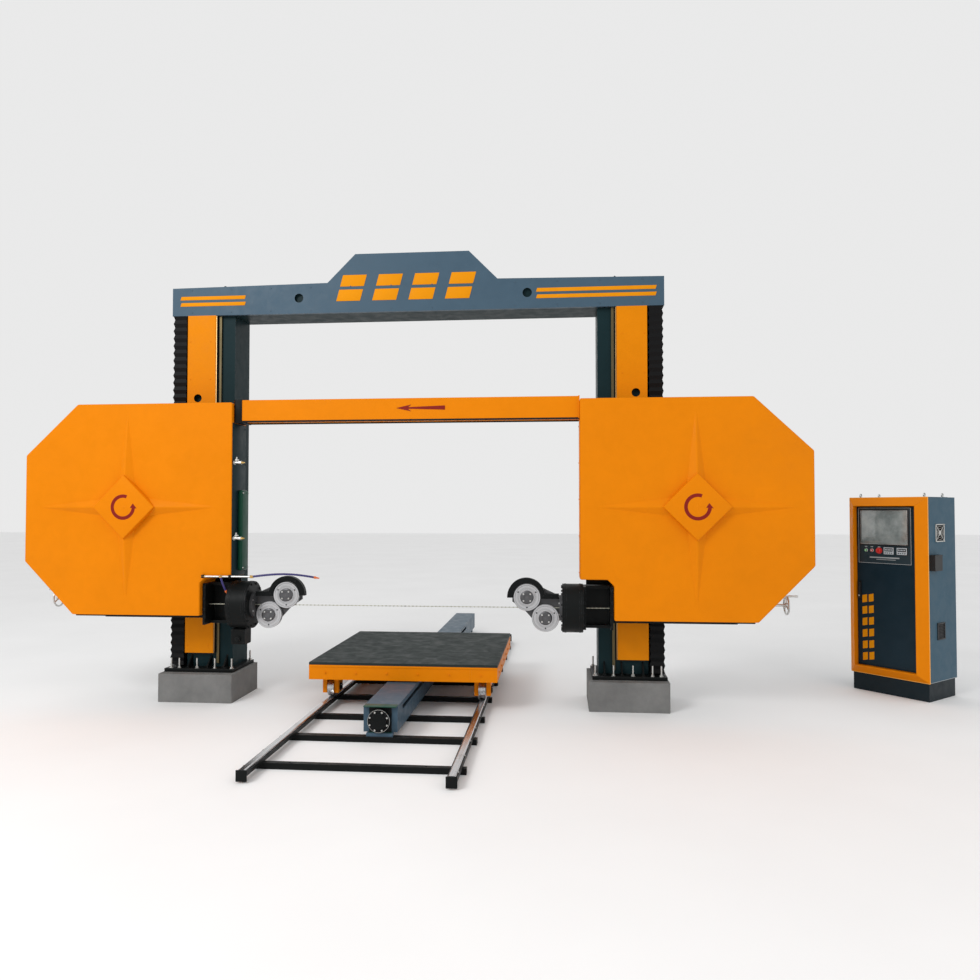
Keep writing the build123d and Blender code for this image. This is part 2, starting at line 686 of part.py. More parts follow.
# ---- control cabinet ----------------------------------------------------
def bevelled_frame():
    """Four mitred bars that slope forward from the cabinet's edges to the door opening."""
    middle_z = (cabinet_foot + cabinet_height) / 2
    height = cabinet_height - cabinet_foot
    back_plane = Plane(origin=cabinet_plane.origin + cabinet_plane.z_dir * middle_z,
                       x_dir=cabinet_plane.x_dir, z_dir=-cabinet_plane.y_dir)
    with BuildPart() as frame:
        with BuildSketch(back_plane.offset(gap)):
            Rectangle(2 * cabinet_half, height)
        with BuildSketch(back_plane.offset(bevel_depth)):
            Rectangle(2 * (cabinet_half - bevel_width), height - 2 * bevel_width)
        loft()
    with BuildPart(cabinet_plane) as cuts:
        bar((-door_opening, door_opening), (-2 * bevel_depth, bevel_depth),
            (cabinet_foot + frame_bars, cabinet_height - frame_bars))
        for x in (-cabinet_half, cabinet_half):
            for z, lean in ((cabinet_foot, -1), (cabinet_height, 1)):
                turn = 45 * lean * (1 if x > 0 else -1)
                with Locations(Location((x, 0, z), (0, turn, 0))):
                    Box(gap, 3 * bevel_depth, 4 * frame_bars)
    with BuildPart() as mitred:
        add(frame.part)
        add(cuts.part, mode=Mode.SUBTRACT)
    return mitred.part


def build_cabinet():
    half, depth, wall, inset = cabinet_half, cabinet_depth, cabinet_wall, foot_inset
    door_back = door_front + door_thickness
    panel_zone = (cabinet_foot + wall + gap, cabinet_height - wall - gap)
    with BuildPart(cabinet_plane) as body:        # base, floor, roof, back and two side panels
        bar((-half + inset, half - inset), (inset, depth - inset), (0, cabinet_foot - gap))
        bar((-half, half), (0, depth), (cabinet_foot, cabinet_foot + wall))
        bar((-half, half), (0, depth), (cabinet_height - wall, cabinet_height))
        bar((-half, half), (depth - wall, depth), panel_zone)
        bar((-half, -half + wall), (0, depth - wall - gap), panel_zone)
        bar((half - wall, half), (0, depth - wall - gap), panel_zone)
        rod("X", (half, fan_y, fan_z), fan_r, 30, Mode.SUBTRACT)
    with BuildPart() as cabinet_shell:
        add(body.part)
        add(bevelled_frame())
    save(cabinet_shell, "cabinet_shell")

    with BuildPart(cabinet_plane) as cabinet_door:
        bar((-door_half, door_half), (door_front, door_back), (door_low, door_high))
        bar(panel_xs, (door_front - panel_raise, door_front), panel_zs)
        for x in button_xs.values():
            rod("Y", (x, door_front, button_z), 12, 60, Mode.SUBTRACT)
        rod("Y", (lock_x, door_front, lock_z), 10, 60, Mode.SUBTRACT)
        for z in (door_low - 3, door_high + 3):   # pivot pins
            rod("Z", (door_hinge_x, (door_front + door_back) / 2, z), 5, 6)
    save(cabinet_door, "cabinet_door")

    with BuildPart(cabinet_plane) as door_lock:
        rod("Y", (lock_x, door_front + 4, lock_z), 9.5, 36)
        bar((lock_x - 12, lock_x + 12), (door_front - 26, door_front - 14), (lock_z - 30, lock_z + 150))
    save(door_lock, "door_lock")

    for name in ("start", "stop"):
        x = button_xs[name]
        with BuildPart(cabinet_plane) as button:
            rod("Y", (x, door_front - 16, button_z), 16, 10)
            rod("Y", (x, door_front + 2, button_z), 11.5, 36)
        save(button, f"{name}_button")

    with BuildPart(cabinet_plane) as estop_button:
        rod("Y", (button_xs["estop"], door_front - 28, button_z), 30, 16)
        rod("Y", (button_xs["estop"], door_front, button_z), 11.5, 50)
    save(estop_button, "estop_button")

    with BuildPart(cabinet_plane) as cabinet_fan:
        rod("X", (half - 40, fan_y, fan_z), 26, 40)
        for k in range(5):
            with Locations(Location((half - 40, fan_y, fan_z), (72 * k, 0, 0))):
                with Locations(Location((0, 0, 22), (0, 0, 30))):
                    Box(36, 4, 64, align=(Align.CENTER, Align.CENTER, Align.MIN))
    save(cabinet_fan, "cabinet_fan")

    with BuildPart(cabinet_plane) as pendant_box:  # open at the top
        bar((half, half + 60), (20, 180), (pendant_z, pendant_z + 170))
        bar((half + 6, half + 54), (26, 174), (pendant_z + 10, pendant_z + 170), Mode.SUBTRACT)
    save(pendant_box, "pendant_box")


build_gantry()
build_top_beam()
build_bellows()
build_carriage()
build_guards()
build_tension()
build_main_drive()
build_wire()
build_head_housings()
build_heads()
build_coolant()
build_track()
build_trolley()
build_cabinet()
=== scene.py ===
import json
import math

import bmesh
import bpy
from mathutils import Matrix, Vector
from mathutils.geometry import tessellate_polygon


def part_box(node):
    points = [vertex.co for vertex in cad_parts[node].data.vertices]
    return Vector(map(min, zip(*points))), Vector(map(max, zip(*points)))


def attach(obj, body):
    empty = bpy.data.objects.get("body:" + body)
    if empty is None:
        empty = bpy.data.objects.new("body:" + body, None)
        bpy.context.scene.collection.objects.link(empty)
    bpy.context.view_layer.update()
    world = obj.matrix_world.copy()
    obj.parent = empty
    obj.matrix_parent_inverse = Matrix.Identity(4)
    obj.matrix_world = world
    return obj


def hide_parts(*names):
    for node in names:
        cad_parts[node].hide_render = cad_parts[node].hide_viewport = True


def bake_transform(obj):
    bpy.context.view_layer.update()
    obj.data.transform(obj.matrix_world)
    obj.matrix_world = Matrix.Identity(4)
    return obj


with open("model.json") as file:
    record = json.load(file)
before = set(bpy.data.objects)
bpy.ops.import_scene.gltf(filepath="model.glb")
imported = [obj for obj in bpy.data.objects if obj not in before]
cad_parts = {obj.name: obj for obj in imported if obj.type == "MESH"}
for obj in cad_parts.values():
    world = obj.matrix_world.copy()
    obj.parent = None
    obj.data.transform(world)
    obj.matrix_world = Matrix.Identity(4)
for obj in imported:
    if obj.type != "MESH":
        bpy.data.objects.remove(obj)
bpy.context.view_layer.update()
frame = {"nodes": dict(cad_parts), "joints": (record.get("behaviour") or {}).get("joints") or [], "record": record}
nodes = frame["nodes"]
joints = {joint["name"]: joint for joint in frame["joints"]}
mounts = {mount["name"]: mount for mount in frame["record"]["mounts"]}
sides = {"left": -1, "right": 1}
print("frame loaded:", len(nodes), "nodes")


def jointSpot(name):
    return Vector(joints[name]["pos_m"])


# Mesh tools

def addBlock(bm, low, high, bevel=0.003, segments=2):
    low, high = Vector(low), Vector(high)
    place = Matrix.Translation((low + high) / 2) @ Matrix.Diagonal((*(high - low), 1))
    made = bmesh.ops.create_cube(bm, size=1, matrix=place)
    if bevel:
        edges = list({edge for vert in made["verts"] for edge in vert.link_edges})
        bmesh.ops.bevel(bm, geom=edges, offset=bevel, segments=segments, profile=0.5, affect="EDGES")


def addTurned(bm, profile, start, direction, segments=48, closed=False):
    # profile holds (along, radius) points, and a radius of 0 closes the shape in a pole
    direction = Vector(direction).normalized()
    across = direction.orthogonal().normalized()
    other = direction.cross(across)
    rings = []
    for along, radius in profile:
        centre = Vector(start) + direction * along
        if radius < 1e-6:
            rings.append([bm.verts.new(centre)])
            continue
        turns = [2 * math.pi * k / segments for k in range(segments)]
        rings.append([bm.verts.new(centre + radius * (across * math.cos(a) + other * math.sin(a)))
                      for a in turns])
    pairs = list(zip(rings, rings[1:]))
    if closed:
        pairs.append((rings[-1], rings[0]))
    for lower, upper in pairs:
        for k in range(segments):
            n = (k + 1) % segments
            corners = [lower[k % len(lower)], lower[n % len(lower)], upper[n % len(upper)],
                       upper[k % len(upper)]]
            corners = [v for i, v in enumerate(corners) if v not in corners[:i]]
            if len(corners) > 2:
                bm.faces.new(corners)


def roundSection(radius, thick, steps):
    # closed profile of a round wire bent into a ring
    turns = [2 * math.pi * k / steps for k in range(steps)]
    return [(thick * math.sin(a), radius + thick * math.cos(a)) for a in turns]


def addPlate(bm, points, front, back, bevel=0.0, segments=2):
    # points are (x, z) round the plate, and front and back are its places along Y
    near = [bm.verts.new((x, front, z)) for x, z in points]
    far = [bm.verts.new((x, back, z)) for x, z in points]
    faces = [bm.faces.new(near), bm.faces.new(list(reversed(far)))]
    for k in range(len(points)):
        n = (k + 1) % len(points)
        faces.append(bm.faces.new((near[n], near[k], far[k], far[n])))
    if bevel:
        edges = list({edge for vert in near for edge in vert.link_edges if edge.other_vert(vert) in near})
        bmesh.ops.bevel(bm, geom=edges, offset=bevel, segments=segments, profile=0.5, affect="EDGES")


def settle(bm, name, material, body, sharp=34, place=None):
    if place is not None:
        bmesh.ops.transform(bm, matrix=place, verts=bm.verts)
    bmesh.ops.remove_doubles(bm, verts=bm.verts, dist=1e-6)
    bmesh.ops.recalc_face_normals(bm, faces=bm.faces)
    mesh = bpy.data.meshes.new(name)
    bm.to_mesh(mesh)
    bm.free()
    return showMesh(mesh, name, material, body, sharp)


def coated(bm, name, body, slotName, sharp=34, place=None):
    # settled in the plain paint of its own record slot
    return settle(bm, name, paints[slotName], body, sharp, place)


def showMesh(mesh, name, material, body, sharp=34):
    mesh.polygons.foreach_set("use_smooth", [True] * len(mesh.polygons))
    mesh.set_sharp_from_angle(angle=math.radians(sharp))
    if material is not None:
        mesh.materials.clear()
        mesh.materials.append(material)
    piece = bpy.data.objects.new(name, mesh)
    bpy.context.scene.collection.objects.link(piece)
    if body:
        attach(piece, body)
    return piece


def bakeModifiers(piece):
    # the evaluated shape becomes a plain mesh and the working object goes
    depsgraph = bpy.context.evaluated_depsgraph_get()
    mesh = bpy.data.meshes.new_from_object(piece.evaluated_get(depsgraph))
    bpy.data.objects.remove(piece)
    return mesh


def looseObject(name, data):
    piece = bpy.data.objects.new(name, data)
    bpy.context.scene.collection.objects.link(piece)
    return piece


# Node tools

def newTree(name, inputs):
    tree = bpy.data.node_groups.new(name, "GeometryNodeTree")
    tree.is_modifier = True
    tree.interface.new_socket("Geometry", in_out="INPUT", socket_type="NodeSocketGeometry")
    for label, (kind, value) in inputs.items():
        socket = tree.interface.new_socket(label, in_out="INPUT", socket_type="NodeSocket" + kind)
        if value is not None:
            socket.default_value = value
    tree.interface.new_socket("Geometry", in_out="OUTPUT", socket_type="NodeSocketGeometry")
    return tree, tree.nodes.new("NodeGroupInput"), tree.nodes.new("NodeGroupOutput")


def addNode(tree, kind, values=None, **settings):
    node = tree.nodes.new(kind)
    for key, value in settings.items():
        setattr(node, key, value)
    for key, value in (values or {}).items():
        if isinstance(value, bpy.types.NodeSocket):
            tree.links.new(value, node.inputs[key])
        else:
            node.inputs[key].default_value = value
    return node


def endTree(tree, groupIn, groupOut, geometry):
    solid = addNode(tree, "GeometryNodeRealizeInstances", {"Geometry": geometry})
    painted = addNode(tree, "GeometryNodeSetMaterial",
                      {"Geometry": solid.outputs[0], "Material": groupIn.outputs["Material"]})
    tree.links.new(painted.outputs[0], groupOut.inputs[0])


def runTree(piece, tree, values):
    modifier = piece.modifiers.new("build", "NODES")
    modifier.node_group = tree
    for item in tree.interface.items_tree:
        if item.item_type == "SOCKET" and item.in_out == "INPUT" and item.name in values:
            modifier[item.identifier] = values[item.name]
    return bakeModifiers(piece)


def polyPath(name, points, closed=False, smooth=False):
    curve = bpy.data.curves.new(name, "CURVE")
    curve.dimensions = "3D"
    spline = curve.splines.new("NURBS" if smooth else "POLY")
    spline.points.add(len(points) - 1)
    for point, place in zip(spline.points, points):
        point.co = (*place, 1)
    if smooth:
        spline.order_u = 3
        spline.use_endpoint_u = True
        curve.resolution_u = 16
    spline.use_cyclic_u = closed
    return looseObject(name, curve)


def makeFastenerTree():
    tree, groupIn, groupOut = newTree("fasteners", {
        "Head Radius": ("Float", 0.012), "Head Height": ("Float", 0.01), "Head Sides": ("Int", 6),
        "Washer Radius": ("Float", 0.016), "Washer Height": ("Float", 0.003),
        "Stud Radius": ("Float", 0.006), "Stud Length": ("Float", 0.02),
        "Seed": ("Int", 4), "Material": ("Material", None)})
    given = groupIn.outputs
    shapes = []
    parts = [("Head Sides", "Head Radius", "Head Height", 1), (20, "Washer Radius", "Washer Height", 0),
             (14, "Stud Radius", "Stud Length", 0)]
    for sidesCount, radius, height, onWasher in parts:
        count = given[sidesCount] if isinstance(sidesCount, str) else sidesCount
        cylinder = addNode(tree, "GeometryNodeMeshCylinder",
                           {"Vertices": count, "Radius": given[radius], "Depth": given[height]})
        half = addNode(tree, "ShaderNodeMath", {0: given[height], 1: 0.5}, operation="MULTIPLY")
        lifted = addNode(tree, "ShaderNodeMath",
                         {0: given["Washer Height"], 1: float(onWasher), 2: half.outputs[0]},
                         operation="MULTIPLY_ADD")
        shift = addNode(tree, "ShaderNodeCombineXYZ", {"Z": lifted.outputs[0]})
        moved = addNode(tree, "GeometryNodeTransform",
                        {"Geometry": cylinder.outputs["Mesh"], "Translation": shift.outputs[0]})
        shapes.append(moved.outputs[0])
    whole = addNode(tree, "GeometryNodeJoinGeometry")
    for shape in shapes:
        tree.links.new(shape, whole.inputs[0])
    facing = addNode(tree, "GeometryNodeInputNamedAttribute", {"Name": "facing"}, data_type="FLOAT_VECTOR")
    aligned = addNode(tree, "FunctionNodeAlignRotationToVector", {"Vector": facing.outputs[0]}, axis="Z")
    turn = addNode(tree, "FunctionNodeRandomValue",
                   {"Min": (0, 0, 0), "Max": (0, 0, 6.2), "Seed": given["Seed"]},
                   data_type="FLOAT_VECTOR")
    turned = addNode(tree, "FunctionNodeRotateRotation", {"Rotation": aligned.outputs[0]},
                     rotation_space="LOCAL")
    tree.links.new(turn.outputs["Value"], turned.inputs["Rotate By"])
    placed = addNode(tree, "GeometryNodeInstanceOnPoints",
                     {"Points": given["Geometry"], "Instance": whole.outputs[0],
                      "Rotation": turned.outputs[0]})
    endTree(tree, groupIn, groupOut, placed.outputs[0])
    return tree


def makeChainTree():
    # turned links follow a path, each lined up with it
    tree, groupIn, groupOut = newTree("chain along path", {
        "Pitch": ("Float", 0.04), "Link Radius": ("Float", 0.005), "Link Length": ("Float", 0.012),
        "Core Radius": ("Float", 0.003), "Link Sides": ("Int", 10), "Material": ("Material", None)})
    given = groupIn.outputs
    points = addNode(tree, "GeometryNodeResampleCurve",
                     {"Curve": given["Geometry"], "Length": given["Pitch"]},
                     mode="LENGTH")
    direction = addNode(tree, "GeometryNodeInputTangent")
    aligned = addNode(tree, "FunctionNodeAlignRotationToVector", {"Vector": direction.outputs[0]}, axis="Z")
    link = addNode(tree, "GeometryNodeMeshCylinder",
                   {"Vertices": given["Link Sides"], "Radius": given["Link Radius"],
                    "Depth": given["Link Length"]})
    placed = addNode(tree, "GeometryNodeInstanceOnPoints",
                     {"Points": points.outputs[0], "Instance": link.outputs["Mesh"],
                      "Rotation": aligned.outputs[0]})
    ring = addNode(tree, "GeometryNodeCurvePrimitiveCircle",
                   {"Resolution": 8, "Radius": given["Core Radius"]})
    core = addNode(tree, "GeometryNodeCurveToMesh",
                   {"Curve": given["Geometry"], "Profile Curve": ring.outputs[0], "Fill Caps": True})
    whole = addNode(tree, "GeometryNodeJoinGeometry")
    tree.links.new(placed.outputs[0], whole.inputs[0])
    tree.links.new(core.outputs[0], whole.inputs[0])
    endTree(tree, groupIn, groupOut, whole.outputs[0])
    return tree


def makeRowTree():
    # evenly spaced copies of one bar, for vent slats, fins and ribs
    tree, groupIn, groupOut = newTree("row of bars", {
        "Count": ("Int", 8), "Step": ("Vector", (0, 0, 0.02)), "Bar Size": ("Vector", (0.1, 0.01, 0.01)),
        "Tilt": ("Vector", (0, 0, 0)), "Material": ("Material", None)})
    given = groupIn.outputs
    line = addNode(tree, "GeometryNodeMeshLine", {"Count": given["Count"], "Offset": given["Step"]},
                   mode="OFFSET")
    bar = addNode(tree, "GeometryNodeMeshCube", {"Size": given["Bar Size"]})
    placed = addNode(tree, "GeometryNodeInstanceOnPoints",
                     {"Points": line.outputs[0], "Instance": bar.outputs["Mesh"]})
    turned = addNode(tree, "GeometryNodeRotateInstances", {"Instances": placed.outputs[0]})
    tree.links.new(given["Tilt"], turned.inputs["Rotation"])
    endTree(tree, groupIn, groupOut, turned.outputs[0])
    return tree


def makeFinTree():
    # fins or blades stand round a ring about Y
    tree, groupIn, groupOut = newTree("ring of fins", {
        "Count": ("Int", 24), "Ring Radius": ("Float", 0.15), "Fin Size": ("Vector", (0.01, 0.3, 0.02)),
        "Material": ("Material", None)})
    given = groupIn.outputs
    ring = addNode(tree, "GeometryNodeMeshCircle",
                   {"Vertices": given["Count"], "Radius": given["Ring Radius"]})
    normal = addNode(tree, "GeometryNodeInputPosition")
    aligned = addNode(tree, "FunctionNodeAlignRotationToVector", {"Vector": normal.outputs[0]}, axis="X")
    fin = addNode(tree, "GeometryNodeMeshCube")
    tree.links.new(given["Fin Size"], fin.inputs["Size"])
    placed = addNode(tree, "GeometryNodeInstanceOnPoints",
                     {"Points": ring.outputs[0], "Instance": fin.outputs["Mesh"],
                      "Rotation": aligned.outputs[0]})
    stood = addNode(tree, "GeometryNodeTransform",
                    {"Geometry": placed.outputs[0], "Rotation": (math.pi / 2, 0, 0)})
    endTree(tree, groupIn, groupOut, stood.outputs[0])
    return tree


def makeBellowsTree():
    # a zigzag wall follows the plan of the cover
    tree, groupIn, groupOut = newTree("folded bellows", {
        "Low": ("Float", 0.0), "High": ("Float", 1.0), "Folds": ("Int", 12), "Fold Depth": ("Float", 0.025),
        "Material": ("Material", None)})
    given = groupIn.outputs
    height = addNode(tree, "ShaderNodeMath", {0: given["High"], 1: given["Low"]}, operation="SUBTRACT")
    half = addNode(tree, "ShaderNodeMath", {0: height.outputs[0], 1: 0.5}, operation="MULTIPLY")
    lowEnd = addNode(tree, "ShaderNodeMath", {0: half.outputs[0], 1: -1.0}, operation="MULTIPLY")
    start = addNode(tree, "ShaderNodeCombineXYZ", {"Y": lowEnd.outputs[0]})
    stop = addNode(tree, "ShaderNodeCombineXYZ", {"Y": half.outputs[0]})
    line = addNode(tree, "GeometryNodeCurvePrimitiveLine",
                   {"Start": start.outputs[0], "End": stop.outputs[0]})
    count = addNode(tree, "ShaderNodeMath", {0: given["Folds"], 1: 4.0, 2: 1.0}, operation="MULTIPLY_ADD")
    points = addNode(tree, "GeometryNodeResampleCurve",
                     {"Curve": line.outputs[0], "Count": count.outputs[0]},
                     mode="COUNT")
    index = addNode(tree, "GeometryNodeInputIndex")
    phase = addNode(tree, "ShaderNodeMath", {0: index.outputs[0], 1: 2.0}, operation="PINGPONG")
    shaped = addNode(tree, "ShaderNodeMath", {0: phase.outputs[0], 1: 0.5}, operation="MULTIPLY")
    rounded = addNode(tree, "ShaderNodeMath", {0: shaped.outputs[0], 1: 0.8}, operation="POWER")
    depth = addNode(tree, "ShaderNodeMath", {0: rounded.outputs[0], 1: given["Fold Depth"]},
                    operation="MULTIPLY")
    shift = addNode(tree, "ShaderNodeCombineXYZ", {"X": depth.outputs[0]})
    folded = addNode(tree, "GeometryNodeSetPosition",
                     {"Geometry": points.outputs[0], "Offset": shift.outputs[0]})
    upright = addNode(tree, "GeometryNodeSetCurveNormal", {"Curve": given["Geometry"]}, mode="Z_UP")
    wall = addNode(tree, "GeometryNodeCurveToMesh",
                   {"Curve": upright.outputs[0], "Profile Curve": folded.outputs[0]})
    middle = addNode(tree, "ShaderNodeMath", {0: given["Low"], 1: half.outputs[0]}, operation="ADD")
    lift = addNode(tree, "ShaderNodeCombineXYZ", {"Z": middle.outputs[0]})
    placed = addNode(tree, "GeometryNodeSetPosition",
                     {"Geometry": wall.outputs[0], "Offset": lift.outputs[0]})
    endTree(tree, groupIn, groupOut, placed.outputs[0])
    return tree


trees = {"fastener": makeFastenerTree(), "chain": makeChainTree(), "row": makeRowTree(),
         "fin": makeFinTree(), "bellows": makeBellowsTree()}
print("geometry trees built:", len(trees))


# Shader groups

def newShaderGroup(name, inputs, outputs):
    group = bpy.data.node_groups.new(name, "ShaderNodeTree")
    for label, (kind, value) in inputs.items():
        socket = group.interface.new_socket(label, in_out="INPUT", socket_type="NodeSocket" + kind)
        socket.default_value = value
    for label, kind in outputs.items():
        group.interface.new_socket(label, in_out="OUTPUT", socket_type="NodeSocket" + kind)
    return group, group.nodes.new("NodeGroupInput"), group.nodes.new("NodeGroupOutput")


def mathNode(tree, operation, first, second=0.0, third=0.0, clamp=False):
    node = addNode(tree, "ShaderNodeMath", {0: first, 1: second, 2: third}, operation=operation)
    node.use_clamp = clamp
    return node.outputs[0]


def rangeNode(tree, value, low, high, toLow=0.0, toHigh=1.0):
    node = addNode(tree, "ShaderNodeMapRange", {"Value": value, "From Min": low, "From Max": high,
                                                "To Min": toLow, "To Max": toHigh})
    return node.outputs[0]


def objectPlace(tree):
    return addNode(tree, "ShaderNodeTexCoord").outputs["Object"]


def makeMottleGroup():
    # slow drift, fine speckle and orange peel of sprayed enamel
    group, groupIn, groupOut = newShaderGroup(
        "sprayed paint", {"Drift Scale": ("Float", 1.6), "Peel Scale": ("Float", 260.0)},
        {"Tone": "Float", "Gloss": "Float", "Peel": "Float"})
    place = objectPlace(group)
    drift = addNode(group, "ShaderNodeTexNoise",
                    {"Vector": place, "Scale": groupIn.outputs["Drift Scale"], "Detail": 5.0,
                     "Roughness": 0.6})
    smear = addNode(group, "ShaderNodeTexNoise",
                    {"Vector": place, "Scale": 9.0, "Detail": 4.0, "Distortion": 0.6})
    peel = addNode(group, "ShaderNodeTexNoise",
                   {"Vector": place, "Scale": groupIn.outputs["Peel Scale"], "Detail": 2.0})
    mixed = mathNode(group, "MULTIPLY_ADD", smear.outputs["Fac"], 0.35,
                     mathNode(group, "MULTIPLY", drift.outputs["Fac"], 0.65))
    group.links.new(mixed, groupOut.inputs["Tone"])
    group.links.new(smear.outputs["Fac"], groupOut.inputs["Gloss"])
    group.links.new(peel.outputs["Fac"], groupOut.inputs["Peel"])
    return group


def makeEdgeGroup():
    # rubbed corners: where a rounded normal leaves the flat one
    group, groupIn, groupOut = newShaderGroup(
        "edge rub", {"Radius": ("Float", 0.006), "Break Scale": ("Float", 28.0), "Amount": ("Float", 1.0)},
        {"Edge": "Float"})
    soft = addNode(group, "ShaderNodeBevel", {"Radius": groupIn.outputs["Radius"]}, samples=4)
    flat = addNode(group, "ShaderNodeNewGeometry")
    lean = addNode(group, "ShaderNodeVectorMath", {0: soft.outputs[0], 1: flat.outputs["Normal"]},
                   operation="DOT_PRODUCT")
    away = mathNode(group, "SUBTRACT", 1.0, lean.outputs["Value"])
    broken = addNode(group, "ShaderNodeTexNoise",
                     {"Vector": objectPlace(group), "Scale": groupIn.outputs["Break Scale"], "Detail": 6.0})
    gate = rangeNode(group, broken.outputs["Fac"], 0.42, 0.62)
    strength = mathNode(group, "MULTIPLY", rangeNode(group, away, 0.02, 0.22), gate)
    group.links.new(mathNode(group, "MULTIPLY", strength, groupIn.outputs["Amount"], clamp=True),
                    groupOut.inputs["Edge"])
    return group


def makeDustGroup():
    # stone dust lies on upward faces and thickens towards the floor
    group, groupIn, groupOut = newShaderGroup(
        "stone dust", {"Amount": ("Float", 0.3), "Reach": ("Float", 1.2)}, {"Dust": "Float"})
    place = objectPlace(group)
    height = addNode(group, "ShaderNodeSeparateXYZ", {"Vector": place})
    low = addNode(group, "ShaderNodeMapRange",
                  {"Value": height.outputs["Z"], "From Min": 0.0, "From Max": groupIn.outputs["Reach"],
                   "To Min": 1.0, "To Max": 0.15})
    normal = addNode(group, "ShaderNodeNewGeometry")
    upward = addNode(group, "ShaderNodeSeparateXYZ", {"Vector": normal.outputs["Normal"]})
    lying = rangeNode(group, upward.outputs["Z"], 0.1, 1.0, 0.25, 1.0)
    cloud = addNode(group, "ShaderNodeTexNoise",
                    {"Vector": place, "Scale": 7.0, "Detail": 8.0, "Roughness": 0.7})
    patchy = rangeNode(group, cloud.outputs["Fac"], 0.38, 0.75)
    together = mathNode(group, "MULTIPLY", mathNode(group, "MULTIPLY", lying, low.outputs[0]), patchy)
    group.links.new(mathNode(group, "MULTIPLY", together, groupIn.outputs["Amount"], clamp=True),
                    groupOut.inputs["Dust"])
    return group


def makeGrainGroup():
    # pits and lumps of castings, concrete and moulded plastic
    group, groupIn, groupOut = newShaderGroup(
        "cast grain", {"Scale": ("Float", 90.0), "Pit Scale": ("Float", 40.0)},
                                              {"Height": "Float", "Tone": "Float"})
    place = objectPlace(group)
    lumps = addNode(group, "ShaderNodeTexNoise",
                    {"Vector": place, "Scale": groupIn.outputs["Scale"], "Detail": 6.0})
    pits = addNode(group, "ShaderNodeTexVoronoi", {"Vector": place, "Scale": groupIn.outputs["Pit Scale"]})
    hollow = rangeNode(group, pits.outputs["Distance"], 0.0, 0.18)
    group.links.new(mathNode(group, "MULTIPLY", lumps.outputs["Fac"], hollow), groupOut.inputs["Height"])
    wide = addNode(group, "ShaderNodeTexNoise",
                   {"Vector": place, "Scale": 3.5, "Detail": 6.0, "Roughness": 0.65})
    group.links.new(wide.outputs["Fac"], groupOut.inputs["Tone"])
    return group


def makeStreakGroup():
    # long fine scratches of ground and drawn steel
    group, groupIn, groupOut = newShaderGroup(
        "grinding streaks", {"Stretch": ("Vector", (2.0, 300.0, 300.0))}, {"Streak": "Float"})
    mapped = addNode(group, "ShaderNodeMapping", {"Vector": objectPlace(group)})
    group.links.new(groupIn.outputs["Stretch"], mapped.inputs["Scale"])
    lines = addNode(group, "ShaderNodeTexNoise", {"Vector": mapped.outputs[0], "Scale": 1.0, "Detail": 4.0})
    group.links.new(lines.outputs["Fac"], groupOut.inputs["Streak"])
    return group


def makeTurningGroup():
    # concentric tool marks: the mesh carries its distance from its own axle
    group, groupIn, groupOut = newShaderGroup(
        "lathe marks", {"Fineness": ("Float", 900.0)}, {"Mark": "Float", "Band": "Float"})
    radius = addNode(group, "ShaderNodeAttribute", attribute_name="axleDistance")
    fine = addNode(group, "ShaderNodeTexNoise", {"Scale": groupIn.outputs["Fineness"], "Detail": 3.0},
                   noise_dimensions="1D")
    group.links.new(radius.outputs["Fac"], fine.inputs["W"])
    band = addNode(group, "ShaderNodeTexNoise", {"Scale": 60.0, "Detail": 2.0}, noise_dimensions="1D")
    group.links.new(radius.outputs["Fac"], band.inputs["W"])
    group.links.new(fine.outputs["Fac"], groupOut.inputs["Mark"])
    group.links.new(band.outputs["Fac"], groupOut.inputs["Band"])
    return group


groups = {"mottle": makeMottleGroup(), "edge": makeEdgeGroup(), "dust": makeDustGroup(),
          "grain": makeGrainGroup(), "streak": makeStreakGroup(), "turning": makeTurningGroup()}


# Materials

def newMaterial(name):
    material = bpy.data.materials.new(name)
    material.use_nodes = True
    return material, material.node_tree, material.node_tree.nodes["Principled BSDF"]


def useGroup(tree, key, values=None):
    node = tree.nodes.new("ShaderNodeGroup")
    node.node_tree = groups[key]
    for label, value in (values or {}).items():
        node.inputs[label].default_value = value
    return node


def mixColour(tree, factor, first, second):
    node = addNode(tree, "ShaderNodeMix", data_type="RGBA")
    for key, value in ((0, factor), (6, first), (7, second)):
        if isinstance(value, bpy.types.NodeSocket):
            tree.links.new(value, node.inputs[key])
        else:
            node.inputs[key].default_value = value
    return node.outputs[2]


def addBump(tree, shader, height, strength, distance=0.001):
    bump = addNode(tree, "ShaderNodeBump", {"Height": height, "Strength": strength, "Distance": distance})
    tree.links.new(bump.outputs[0], shader.inputs["Normal"])


def shade(colour, factor):
    return (*[min(1.0, c * factor) for c in colour[:3]], 1.0)


dustColour = (0.30, 0.28, 0.25, 1)


